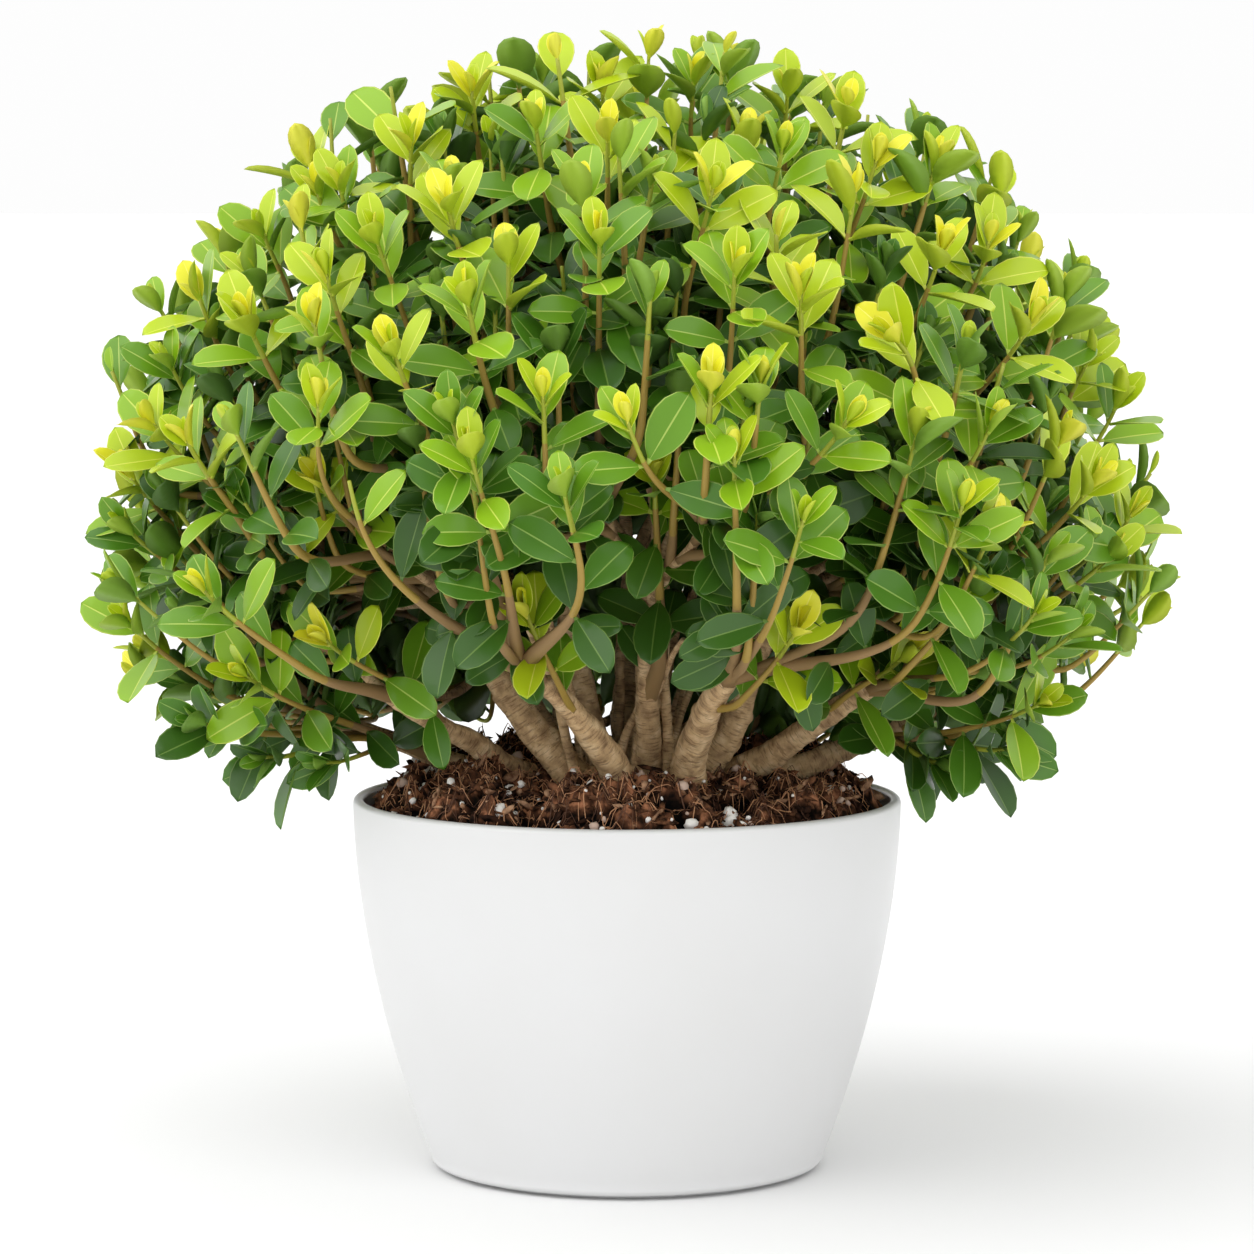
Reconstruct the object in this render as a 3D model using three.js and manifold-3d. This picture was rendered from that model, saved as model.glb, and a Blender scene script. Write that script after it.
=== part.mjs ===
// A box shrub grown as a dense, domed ball in a round tapered pot.
// Millimetres, +Z up. The origin is the centre of the flat underside of the pot's foot, and the shrub's
// front, the side it is shown from, faces -Y. Azimuths run anticlockwise from +X, seen from above.
import * as THREE from "three";
import { mergeVertices } from "three/addons/utils/BufferGeometryUtils.js";
import Module from "manifold-3d";

const wasm = await Module();
wasm.setup();

// ---------- Driving sizes ----------

// Pot: an injection-moulded planter, 200 mm across its rim.
const RIM_RADIUS = 100;
const POT_HEIGHT = 136;
const POT_EDGE_RADIUS = 71; // where the side turns under
const POT_SIDE_POWER = 1.8; // how late the side sweeps in as it goes down
const POT_WALL = 4;
const POT_FLOOR = 6;
const FOOT_RADIUS = 66;
const FOOT_HEIGHT = 1.4; // the recessed foot that leaves a shadow line under the pot
const TURN_UNDER = 3; // radius of the rounded edge above the foot
const POT_SIDES = 40;

// Growing mix: level where the stems stand, falling away to below the rim at the wall.
const SOIL_LEVEL = 143;
const SOIL_EDGE_LEVEL = 130;
const SOIL_PLATEAU_RADIUS = 60;
const SOIL_CLEARANCE = 0.7; // from the mix to the pot's wall
const SOIL_SIDES = 32;

// Touching solids keep this gap.
const GAP = 0.3;
const LEAST_EDGE = 0.05; // shorter edges left by joining solids are closed up
const MERGE = 1e-3;

// Crown: a superellipsoid round the point at CROWN_CENTRE_HEIGHT, flatter below than above.
const CROWN_RADIUS = 199;
const CROWN_CENTRE_HEIGHT = 236;
const CROWN_RISE = 180;
const CROWN_DROP = 104;
const CROWN_TOP_POWER = 2.0;
const CROWN_FOOT_POWER = 2.7;
// The underside is higher at the front, where the stems show, and somewhat higher behind.
const FRONT_LIFT = 54;
const FRONT_POWER = 4; // how narrow that opening is
const BACK_LIFT = 22;
const BACK_POWER = 2;

// Every limb and mass radiates from the middle of the root collar.
const HUB = new THREE.Vector3(0, 0, SOIL_LEVEL);

// Main stems, each under one mass of foliage. A row gives the azimuth and elevation of its mass from the
// hub, where the stem stands in the mix, the elevation at which it leaves the mix, its radius above the
// flare, and how far from the hub it reaches.
const STEMS = [
  { label: "low_1", azimuth: 5, elevation: 10, foot: [55, 5], launch: 20, radius: 5.2, reach: 102 },
  { label: "low_2", azimuth: 55, elevation: 20, foot: [24, 38], launch: 42, radius: 5.2, reach: 100 },
  { label: "low_3", azimuth: 122, elevation: 20, foot: [-24, 38], launch: 42, radius: 5.2, reach: 100 },
  { label: "low_4", azimuth: 176, elevation: 10, foot: [-53, 4], launch: 22, radius: 4.6, reach: 102 },
  { label: "low_5", azimuth: 204, elevation: 20, foot: [-36, -8], launch: 27, radius: 4.9, reach: 100 },
  { label: "low_6", azimuth: 247, elevation: 27, foot: [-1, -44], launch: 62, radius: 5.8, reach: 100 },
  { label: "low_7", azimuth: 293, elevation: 26, foot: [21, -38], launch: 62, radius: 6.6, reach: 100 },
  { label: "low_8", azimuth: 338, elevation: 21, foot: [39, -10], launch: 38, radius: 5.8, reach: 100 },
  { label: "mid_1", azimuth: 27, elevation: 45, foot: [26, 11], launch: 55, radius: 5.6, reach: 92 },
  { label: "mid_2", azimuth: 89, elevation: 46, foot: [0, 25], launch: 55, radius: 5.6, reach: 92 },
  { label: "mid_3", azimuth: 151, elevation: 45, foot: [-22, 14], launch: 55, radius: 5.6, reach: 92 },
  { label: "mid_4", azimuth: 204, elevation: 45, foot: [-16, -27], launch: 43, radius: 6.4, reach: 92 },
  { label: "mid_5", azimuth: 277, elevation: 48, foot: [8, -24], launch: 70, radius: 5.0, reach: 92 },
  { label: "mid_6", azimuth: 330, elevation: 47, foot: [25, -18], launch: 56, radius: 5.4, reach: 92 },
  { label: "top_1", azimuth: 58, elevation: 75, foot: [5, 8], launch: 80, radius: 5.0, reach: 84 },
  { label: "top_2", azimuth: 178, elevation: 72, foot: [-9, 0], launch: 80, radius: 5.0, reach: 84 },
  { label: "top_3", azimuth: 302, elevation: 76, foot: [6, -7], launch: 80, radius: 5.0, reach: 84 },
];
const STEM_TAPER = 0.58; // tip radius over base radius
const STEM_FLARE = 1.22; // base radius over the radius just above it
const STEM_ARCH = 0.5; // where along a stem its bend is, as a share of its length
const STEM_SIDES = 8;
const STEM_STEPS = 7;

// Masses of foliage.
const MASS_STEM_RADIUS = 3.2;
const MASS_STEM_TAPER = 0.8;
const CELL_MARGIN = 0.4; // half the clear gap between two masses
const CORE_MARGIN = 3; // from a core to the side of its cell
const CORE_DEPTH = 42; // from the crown's outline in to the core
const CORE_DETAIL = 2;
const OUTLINE_LEVEL = 1.004; // how far over the outline a leaf's tip may reach, in crownLevel's terms

// Shoots: each stands out of a core and carries leaves in opposite pairs.
const SHOOTS = 120;
const LOWEST_SHOOT = -0.72; // sine of the lowest shoot's elevation, seen from the crown's centre
const SHOOT_RADIUS = 1.5;
const SHOOT_FLARE = 1.3; // root radius over SHOOT_RADIUS
const SHOOT_TAPER = 0.7; // end radius over SHOOT_RADIUS
const SHOOT_SINK = 16; // how far a shoot's root goes into the core
const LEAF_LENGTH = 36; // larger than the 26 mm of a real leaf, because the leaves are fewer
const LEAF_WIDTH = 0.5; // of its length
const LEAF_THICKNESS = 0.045; // of its length
const LEAF_SINK = 0.6; // how far past the middle of its shoot a leaf starts
const LEAF_WIDEST = 0.58; // where along it a leaf is widest
const LEAF_ARCH = 0.07; // of its length: how far the midrib bows out at the widest place
const LEAF_CUP = 0.05; // of its length: how far the two edges stand above the midrib
const LEAF_TIP_DROP = 0.04;
const LEAN_SPREAD = 10; // degrees
const SIZE_SPREAD = 0.16;
const TURNS_TRIED = 8;
const SHOOT_END = 5; // how far a shoot runs on past its last pair
const ROOT_DEPTH = 6; // how deep a shoot's root lies in its core
// Each pair's distance back from the crown's outline, its lean from the shoot and its share of LEAF_LENGTH.
const PAIRS = [
  { back: 26, lean: 26, size: 0.9 },
  { back: 35, lean: 60, size: 1.0 },
];

// Clear space over the pot's rim that no leaf enters.
const RIM_CLEARANCE = 3;

const HALVINGS = 30;
const SEED = 11;

const COLOURS = {
  pot: { color: 0xf1f1f0, roughness: 0.38, metalness: 0 },
  soil: { color: 0x3a2117, roughness: 1, metalness: 0 },
  bark: { color: 0x94785a, roughness: 0.85, metalness: 0 },
  foliage: { color: 0x5c8f26, roughness: 0.45, metalness: 0 },
};

// ---------- Shared helpers ----------

// A repeatable stream of numbers from 0 to 1 (mulberry32).
function randomStream(seed) {
  let state = seed >>> 0;
  return () => {
    state = (state + 0x6d2b79f5) >>> 0;
    let t = state;
    t = Math.imul(t ^ (t >>> 15), t | 1);
    t ^= t + Math.imul(t ^ (t >>> 7), t | 61);
    return ((t ^ (t >>> 14)) >>> 0) / 4294967296;
  };
}

const radians = THREE.MathUtils.degToRad;

// The unit vector at an azimuth and an elevation in degrees.
function direction(azimuth, elevation) {
  const a = radians(azimuth);
  const e = radians(elevation);
  return new THREE.Vector3(Math.cos(a) * Math.cos(e), Math.sin(a) * Math.cos(e), Math.sin(e));
}

// Two unit vectors square to a direction and to each other.
function sideways(along) {
  const up = Math.abs(along.z) > 0.95 ? new THREE.Vector3(1, 0, 0) : new THREE.Vector3(0, 0, 1);
  const across = new THREE.Vector3().crossVectors(up, along).normalize();
  return [across, new THREE.Vector3().crossVectors(along, across).normalize()];
}

function geometryOf(points, faces) {
  const geometry = new THREE.BufferGeometry();
  const places = points.flatMap((p) => [p.x, p.y, p.z]);
  geometry.setAttribute("position", new THREE.Float32BufferAttribute(places, 3));
  geometry.setIndex(faces.flat());
  return geometry;
}

function solidOf(geometry) {
  const bare = geometry.clone();
  bare.deleteAttribute("normal");
  bare.deleteAttribute("uv");
  const merged = mergeVertices(bare, 1e-4);
  return new wasm.Manifold(
    new wasm.Mesh({
      numProp: 3,
      vertProperties: new Float32Array(merged.attributes.position.array),
      triVerts: new Uint32Array(merged.index.array),
    }),
  );
}

function geometryOfSolid(solid) {
  const mesh = solid.getMesh();
  const geometry = new THREE.BufferGeometry();
  const places = new Float32Array(mesh.numVert * 3);
  for (let i = 0; i < mesh.numVert; i++) {
    places.set(mesh.vertProperties.subarray(i * mesh.numProp, i * mesh.numProp + 3), i * 3);
  }
  geometry.setAttribute("position", new THREE.BufferAttribute(places, 3));
  geometry.setIndex(new THREE.BufferAttribute(mesh.triVerts, 1));
  geometry.computeVertexNormals();
  return geometry;
}

// True if exactly two faces meet at every edge, once corners nearer than MERGE are taken as one
// and the faces that this flattens are dropped.
function cleanlyClosed(solid) {
  const corners = mergeVertices(geometryOfSolid(solid).deleteAttribute("normal"), MERGE).index.array;
  const edges = new Map();
  for (let i = 0; i < corners.length; i += 3) {
    const face = [corners[i], corners[i + 1], corners[i + 2]];
    if (new Set(face).size < 3) continue;
    for (const [a, b] of [[0, 1], [1, 2], [2, 0]]) {
      const pair = [face[a], face[b]].sort().join();
      edges.set(pair, (edges.get(pair) ?? 0) + 1);
    }
  }
  return [...edges.values()].every((count) => count === 2);
}

// Joins solids to a first one. One that would leave a flawed surface or a loose scrap is left out.
function joined(first, others) {
  let whole = first;
  for (const other of others) {
    const next = whole.add(other).simplify(LEAST_EDGE);
    if (next.decompose().length === 1 && cleanlyClosed(next)) whole = next;
  }
  return whole;
}

// A round limb: rings of corners square to a line of stations, each { point, along, radius }, with flat
// ends.
function limb(stations, sides) {
  const points = [];
  const faces = [];
  for (const { point, along, radius } of stations) {
    const [u, v] = sideways(along);
    for (let i = 0; i < sides; i++) {
      const a = (2 * Math.PI * i) / sides;
      const corner = point.clone().addScaledVector(u, radius * Math.cos(a));
      points.push(corner.addScaledVector(v, radius * Math.sin(a)));
    }
  }
  for (let row = 0; row + 1 < stations.length; row++) {
    for (let i = 0; i < sides; i++) {
      const a = row * sides + i;
      const b = row * sides + ((i + 1) % sides);
      faces.push([a, b, b + sides], [a, b + sides, a + sides]);
    }
  }
  const last = (stations.length - 1) * sides;
  for (let i = 1; i + 1 < sides; i++) {
    faces.push([0, i + 1, i], [last, last + i, last + i + 1]);
  }
  return geometryOf(points, faces);
}

const shrub = new THREE.Group();

function addNode(name, geometry, look) {
  const mesh = new THREE.Mesh(geometry, new THREE.MeshStandardMaterial(COLOURS[look]));
  mesh.name = name;
  shrub.add(mesh);
}

// ---------- Pot ----------

// A point of a profile: its distance from the pot's axis and its height.
function at(out, height) {
  return new THREE.Vector2(out, height);
}

// The pot's outer radius at a height.
function potRadius(height) {
  const down = (POT_HEIGHT - height) / (POT_HEIGHT - FOOT_HEIGHT);
  return RIM_RADIUS - (RIM_RADIUS - POT_EDGE_RADIUS) * Math.max(down, 0) ** POT_SIDE_POWER;
}

function potProfile() {
  const profile = [at(0, 0), at(FOOT_RADIUS, 0), at(FOOT_RADIUS, FOOT_HEIGHT)];
  const turnHeight = FOOT_HEIGHT + TURN_UNDER;
  const turnCentre = potRadius(turnHeight) - TURN_UNDER;
  for (const share of [0, 0.35, 0.7]) {
    const a = (Math.PI / 2) * share;
    profile.push(at(turnCentre + TURN_UNDER * Math.sin(a), turnHeight - TURN_UNDER * Math.cos(a)));
  }
  const lip = POT_WALL / 2;
  const lipHeight = POT_HEIGHT - lip;
  for (const share of [0, 0.17, 0.35, 0.54, 0.76, 1]) {
    const height = THREE.MathUtils.lerp(turnHeight, lipHeight, share);
    profile.push(at(potRadius(height), height));
  }
  for (const share of [0.25, 0.5, 0.75, 1]) {
    const a = Math.PI * share;
    profile.push(at(potRadius(lipHeight) - lip + lip * Math.cos(a), lipHeight + lip * Math.sin(a)));
  }
  for (const share of [0.72, 0.4, 0.12]) {
    const height = THREE.MathUtils.lerp(POT_FLOOR, lipHeight, share);
    profile.push(at(potRadius(height) - POT_WALL, height));
  }
  profile.push(at(potRadius(POT_FLOOR) - POT_WALL, POT_FLOOR), at(0, POT_FLOOR));
  return profile;
}

// LatheGeometry turns a profile in X and Y round the Y axis; this stands it up along +Z.
function lathe(profile, sides) {
  return new THREE.LatheGeometry(profile, sides).rotateX(Math.PI / 2);
}

// ---------- Growing mix ----------

function soilProfile() {
  const inner = (height) => potRadius(height) - POT_WALL - SOIL_CLEARANCE;
  const profile = [at(0, POT_FLOOR + GAP)];
  for (const share of [0, 0.12, 0.4, 0.72, 1]) {
    const height = THREE.MathUtils.lerp(POT_FLOOR + GAP, SOIL_EDGE_LEVEL, share);
    profile.push(at(inner(height), height));
  }
  const edge = inner(SOIL_EDGE_LEVEL);
  for (const share of [0.3, 0.65]) {
    const swell = Math.sin((Math.PI / 2) * share);
    const out = THREE.MathUtils.lerp(edge, SOIL_PLATEAU_RADIUS, share);
    profile.push(at(out, THREE.MathUtils.lerp(SOIL_EDGE_LEVEL, SOIL_LEVEL, swell)));
  }
  profile.push(at(SOIL_PLATEAU_RADIUS, SOIL_LEVEL), at(0, SOIL_LEVEL));
  return profile;
}

// ---------- Crown: its outline and the space of each mass ----------

// How far the crown's underside is raised at a place: most straight to the front, -Y, less straight
// behind, and not at the sides.
function lift(x, y) {
  const back = y / Math.hypot(x, y, 1);
  return FRONT_LIFT * Math.max(0, -back) ** FRONT_POWER + BACK_LIFT * Math.max(0, back) ** BACK_POWER;
}

// Under 1 inside the crown's outline, 1 on it and over 1 outside.
function crownLevel(point, inset = 0) {
  const up = point.z > CROWN_CENTRE_HEIGHT;
  const power = up ? CROWN_TOP_POWER : CROWN_FOOT_POWER;
  const half = (up ? CROWN_RISE : CROWN_DROP - lift(point.x, point.y)) - inset;
  const out = Math.hypot(point.x, point.y) / (CROWN_RADIUS - inset);
  const height = Math.abs(point.z - CROWN_CENTRE_HEIGHT) / half;
  return out ** power + height ** power;
}

// How far from a start along a direction the crown's outline lies, found by halving.
function crownDistance(start, along, inset = 0) {
  let near = 0;
  let far = CROWN_RADIUS + CROWN_RISE;
  for (let i = 0; i < HALVINGS; i++) {
    const middle = (near + far) / 2;
    const inside = crownLevel(start.clone().addScaledVector(along, middle), inset) < 1;
    near = inside ? middle : near;
    far = inside ? far : middle;
  }
  return near;
}

const stems = STEMS.map((row) => ({ ...row, axis: direction(row.azimuth, row.elevation) }));

// A mass's space is every direction from the hub that lies nearer its own axis than any other: a cone
// whose sides are the planes halfway between its axis and each neighbour's.
stems.forEach((stem) => {
  stem.sides = stems
    .filter((other) => other !== stem)
    .map((other) => new THREE.Vector3().subVectors(stem.axis, other.axis).normalize());
});

// How far a point lies inside the nearest side of a stem's space.
function depthInCell(stem, point) {
  const from = new THREE.Vector3().subVectors(point, HUB);
  return Math.min(...stem.sides.map((side) => side.dot(from)));
}

function clearOfPot(point) {
  return Math.hypot(point.x, point.y) > RIM_RADIUS + RIM_CLEARANCE || point.z > POT_HEIGHT + RIM_CLEARANCE;
}

// ---------- Stems ----------

// A stem leaves the mix at its launch elevation, heading for its mass, and arches on up to it. It is
// thickest at the mix, where it flares.
function stemStations(stem) {
  const base = HUB.clone().add(new THREE.Vector3(...stem.foot, 0));
  const tip = HUB.clone().addScaledVector(stem.axis, stem.reach);
  const heading = THREE.MathUtils.radToDeg(Math.atan2(tip.y - base.y, tip.x - base.x));
  const middle = base
    .clone()
    .addScaledVector(direction(heading, stem.launch), tip.distanceTo(base) * STEM_ARCH);
  const curve = new THREE.QuadraticBezierCurve3(base, middle, tip);
  return Array.from({ length: STEM_STEPS + 1 }, (_, row) => {
    const share = row / STEM_STEPS;
    const radius = stem.radius * THREE.MathUtils.lerp(1, STEM_TAPER, share);
    return {
      point: curve.getPoint(share),
      along: row === STEM_STEPS ? stem.axis : curve.getTangent(share),
      radius: row === 0 ? radius * STEM_FLARE : radius,
    };
  });
}

// A stem as a solid, cut off level where it leaves the mix.
function stemSolid(stem) {
  const stations = stemStations(stem);
  const { point, along, radius } = stations[0];
  const sunk = radius / Math.tan(radians(stem.launch)) + GAP;
  const root = { point: point.clone().addScaledVector(along, -sunk), along, radius };
  return solidOf(limb([root, ...stations], STEM_SIDES)).trimByPlane([0, 0, 1], SOIL_LEVEL + GAP);
}

// ---------- Foliage ----------

// A pointed, slightly arched blade: a thin solid of eight faces that is widest past its middle.
function leafPoints(root, along, face, length) {
  const across = new THREE.Vector3().crossVectors(along, face).normalize();
  const at = (down, side, lift) =>
    root
      .clone()
      .addScaledVector(along, length * down)
      .addScaledVector(across, length * side)
      .addScaledVector(face, length * lift);
  const half = LEAF_WIDTH / 2;
  return [
    at(0, 0, 0),
    at(1, 0, -LEAF_TIP_DROP),
    at(LEAF_WIDEST, half, LEAF_ARCH + LEAF_CUP),
    at(LEAF_WIDEST, -half, LEAF_ARCH + LEAF_CUP),
    at(LEAF_WIDEST, 0, LEAF_ARCH + LEAF_THICKNESS / 2),
    at(LEAF_WIDEST, 0, LEAF_ARCH - LEAF_THICKNESS),
  ];
}

const LEAF_FACES = [
  [0, 2, 4],
  [2, 1, 4],
  [1, 3, 4],
  [3, 0, 4],
  [2, 0, 5],
  [1, 2, 5],
  [3, 1, 5],
  [0, 3, 5],
];

// The dense inside of a mass: a ball of facets pushed out to the sides of its own space.
function coreSolid(stem) {
  const outer = crownDistance(HUB, stem.axis);
  const near = stem.reach + GAP;
  const centre = HUB.clone().addScaledVector(stem.axis, (near + outer - CORE_DEPTH) / 2);
  const facets = new THREE.IcosahedronGeometry(1, CORE_DETAIL);
  const ball = mergeVertices(facets.deleteAttribute("normal").deleteAttribute("uv"));
  const places = ball.attributes.position;
  const nearFace = stem.axis.clone();
  for (let i = 0; i < places.count; i++) {
    const along = new THREE.Vector3().fromBufferAttribute(places, i).normalize();
    let distance = crownDistance(centre, along, CORE_DEPTH);
    for (const side of stem.sides) {
      const closing = -side.dot(along);
      if (closing > 1e-6) {
        const room = side.dot(centre.clone().sub(HUB)) - CORE_MARGIN;
        distance = Math.min(distance, room / closing);
      }
    }
    const back = -nearFace.dot(along);
    if (back > 1e-6) {
      distance = Math.min(distance, (nearFace.dot(centre.clone().sub(HUB)) - near) / back);
    }
    places.setXYZ(i, ...centre.clone().addScaledVector(along, distance).toArray());
  }
  return { centre, solid: solidOf(ball) };
}

// Even directions over the crown, by the golden angle, as seen from the crown's own centre.
function shootTips() {
  const golden = Math.PI * (3 - Math.sqrt(5));
  const centre = new THREE.Vector3(0, 0, CROWN_CENTRE_HEIGHT);
  return Array.from({ length: SHOOTS }, (_, i) => {
    const z = 1 - ((1 - LOWEST_SHOOT) * (i + 0.5)) / SHOOTS;
    const out = Math.sqrt(1 - z * z);
    const along = new THREE.Vector3(out * Math.cos(golden * i), out * Math.sin(golden * i), z);
    return centre.clone().addScaledVector(along, crownDistance(centre, along));
  });
}

// A point well inside a core, as near as can be to the straight way from the hub to a shoot's tip.
function rootInCore(stem, core, tip) {
  const along = tip.clone().sub(HUB).normalize();
  const aim = tip.clone().addScaledVector(along, -CORE_DEPTH - SHOOT_SINK);
  for (let share = 1; share > 0; share -= 0.1) {
    const root = core.centre.clone().lerp(aim, share);
    const clearOfStem = stem.axis.dot(root.clone().sub(HUB)) > stem.reach + ROOT_DEPTH;
    const deep = clearOfStem && depthInCell(stem, root) > CORE_MARGIN + ROOT_DEPTH;
    if (deep && crownLevel(root, CORE_DEPTH + ROOT_DEPTH) < 1) return root;
  }
  return core.centre.clone();
}

// The leaves of one shoot at one turn of its pairs, as lists of points. Pairs stand crosswise to each
// other.
function leavesOnShoot(tip, along, spin, random) {
  const [u, v] = sideways(along);
  return PAIRS.flatMap((pair, row) =>
    [0, Math.PI].map((half) => {
      const turn = spin + row * (Math.PI / 2) + half;
      const out = u.clone().multiplyScalar(Math.cos(turn)).addScaledVector(v, Math.sin(turn));
      const lean = radians(pair.lean + LEAN_SPREAD * (random() - 0.5));
      const way = along.clone().multiplyScalar(Math.cos(lean)).addScaledVector(out, Math.sin(lean));
      const face = along.clone().multiplyScalar(Math.sin(lean)).addScaledVector(out, -Math.cos(lean));
      const length = LEAF_LENGTH * pair.size * (1 + SIZE_SPREAD * (random() - 0.5));
      const root = tip.clone().addScaledVector(along, -pair.back).addScaledVector(way, -LEAF_SINK);
      return leafPoints(root, way, face, length);
    }),
  );
}

// A shoot and its pairs of leaves, turned to the side that keeps most of them.
// What would leave the mass's space or touch a stem is skipped.
function shootAndLeaves(stem, core, tip, limbs, random) {
  const inOutline = (p) => clearOfPot(p) && crownLevel(p) < OUTLINE_LEVEL;
  const inside = (points) => points.every((p) => inOutline(p) && depthInCell(stem, p) > CELL_MARGIN);
  const root = rootInCore(stem, core, tip);
  const along = tip.clone().sub(root).normalize();
  const end = tip.clone().addScaledVector(along, SHOOT_END - PAIRS[0].back);
  const shoot = solidOf(
    limb(
      [
        { point: root, along, radius: SHOOT_RADIUS * SHOOT_FLARE },
        { point: end, along, radius: SHOOT_RADIUS * SHOOT_TAPER },
      ],
      3,
    ),
  );
  if (depthInCell(stem, end) < CELL_MARGIN + SHOOT_RADIUS || !shoot.intersect(limbs).isEmpty()) return [];
  const turns = Array.from({ length: TURNS_TRIED }, (_, i) => {
    const leaves = leavesOnShoot(tip, along, (Math.PI * (i + random())) / TURNS_TRIED, random);
    return leaves.filter(inside);
  });
  const best = turns.reduce((most, leaves) => (leaves.length > most.length ? leaves : most));
  const leaves = best.map((points) => solidOf(geometryOf(points, LEAF_FACES)));
  return [shoot, ...leaves.filter((leaf) => leaf.intersect(limbs).isEmpty())];
}

// The short length of stem at the foot of a mass, standing clear of the bough below it.
function massStem(stem, core) {
  const start = HUB.clone().addScaledVector(stem.axis, stem.reach + GAP);
  return limb(
    [
      { point: start, along: stem.axis, radius: MASS_STEM_RADIUS },
      { point: core.centre, along: stem.axis, radius: MASS_STEM_RADIUS * MASS_STEM_TAPER },
    ],
    6,
  );
}

function buildMasses(limbs) {
  const random = randomStream(SEED);
  const owned = new Map(stems.map((stem) => [stem, []]));
  for (const tip of shootTips()) {
    const owner = stems.find((stem) => depthInCell(stem, tip) >= 0);
    owned.get(owner).push(tip);
  }
  for (const stem of stems) {
    const core = coreSolid(stem);
    const sprays = owned.get(stem).flatMap((tip) => shootAndLeaves(stem, core, tip, limbs, random));
    const mass = joined(core.solid, [solidOf(massStem(stem, core)), ...sprays]);
    addNode(`foliage_${stem.label}`, geometryOfSolid(mass), "foliage");
  }
}

// ---------- The whole shrub ----------

addNode("pot", lathe(potProfile(), POT_SIDES), "pot");
addNode("soil", lathe(soilProfile(), SOIL_SIDES), "soil");
const stemSolids = stems.map(stemSolid);
stems.forEach((stem, i) => addNode(`stem_${stem.label}`, geometryOfSolid(stemSolids[i]), "bark"));
buildMasses(wasm.Manifold.union(stemSolids));

export default shrub;
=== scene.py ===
"""A box shrub grown as a dense, domed ball on many stems, in a round white plastic pot.

Sizes are in millimetres and turn into metres where a mesh is made. +Z is up and the front faces -Y.
Azimuths run anticlockwise from +X, seen from above."""

import bpy
import numpy as np
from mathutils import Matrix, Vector


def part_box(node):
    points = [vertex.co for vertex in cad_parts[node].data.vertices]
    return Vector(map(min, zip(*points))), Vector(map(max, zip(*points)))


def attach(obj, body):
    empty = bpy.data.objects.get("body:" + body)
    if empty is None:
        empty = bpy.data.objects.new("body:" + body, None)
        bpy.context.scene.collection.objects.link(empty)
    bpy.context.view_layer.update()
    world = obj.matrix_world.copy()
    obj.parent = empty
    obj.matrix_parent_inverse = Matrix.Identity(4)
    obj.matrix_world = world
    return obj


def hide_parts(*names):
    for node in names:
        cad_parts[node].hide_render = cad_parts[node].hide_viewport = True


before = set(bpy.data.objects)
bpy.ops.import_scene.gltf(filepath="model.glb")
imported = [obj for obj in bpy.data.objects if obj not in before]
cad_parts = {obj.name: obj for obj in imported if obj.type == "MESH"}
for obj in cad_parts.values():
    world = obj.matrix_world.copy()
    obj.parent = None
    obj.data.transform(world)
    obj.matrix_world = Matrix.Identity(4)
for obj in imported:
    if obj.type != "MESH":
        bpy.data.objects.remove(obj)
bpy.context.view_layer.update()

# ---------- The pot ----------
# A planter injection-moulded in white polypropylene with a satin gloss: one tapered shell whose side
# sweeps in towards a recessed foot, under a rounded lip. It stands on the flat ring of its foot.

MM = 0.001
pot_high = np.array(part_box("pot")[1]) / MM
RIM_RADIUS = pot_high[0]
POT_HEIGHT = pot_high[2]
POT_EDGE_RADIUS = 71.0  # where the side turns under
POT_SIDE_POWER = 1.8
POT_WALL = 4.0
POT_FLOOR = 6.0
FOOT_RADIUS = 66.0
FOOT_HEIGHT = 1.4
FOOT_RING = 7.0  # width of the ring that it stands on
FOOT_HOLLOW = 0.7  # how far the middle of the underside stands clear
TURN_UNDER = 3.0
POT_SIDES = 200
POT_WHITE = (0.652, 0.654, 0.658, 1)


def pot_radius(height):
    """The pot's outer radius: the rim's, less a part that grows with the 1.8th power of the way down."""
    down = (POT_HEIGHT - height) / (POT_HEIGHT - FOOT_HEIGHT)
    return RIM_RADIUS - (RIM_RADIUS - POT_EDGE_RADIUS) * np.maximum(down, 0) ** POT_SIDE_POWER


def grid_triangles(rows, columns):
    """Two triangles to each cell of a grid whose columns close up into rings. They face outwards where
    the rings run anticlockwise about the way that the rows go."""
    row, column = np.meshgrid(np.arange(rows - 1), np.arange(columns), indexing="ij")
    a = (row * columns + column).ravel()
    b = (row * columns + (column + 1) % columns).ravel()
    return np.concatenate([np.stack([a, b, b + columns], 1), np.stack([a, b + columns, a + columns], 1)])


def skins(rings, starts, ends):
    """Closed skins over stacks of rings, given as (skins, rings, sides, 3), each with a pole at either
    end. Returns all points, and the triangles as one template shifted from skin to skin."""
    count, rows, sides = rings.shape[:3]
    points = np.concatenate([rings.reshape(count, rows * sides, 3), starts[:, None], ends[:, None]], 1)
    a = np.arange(sides)
    b = (a + 1) % sides
    top = (rows - 1) * sides
    foot_cap = np.stack([np.full(sides, rows * sides), b, a], 1)
    head_cap = np.stack([a + top, b + top, np.full(sides, rows * sides + 1)], 1)
    template = np.concatenate([grid_triangles(rows, sides), foot_cap, head_cap])
    shift = np.arange(count)[:, None, None] * points.shape[1]
    return points.reshape(-1, 3), (template[None] + shift).reshape(-1, 3)


def skin_triangles(rows, sides):
    """How many triangles a closed skin of so many rings has, with both its ends."""
    return 2 * rows * sides


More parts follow.
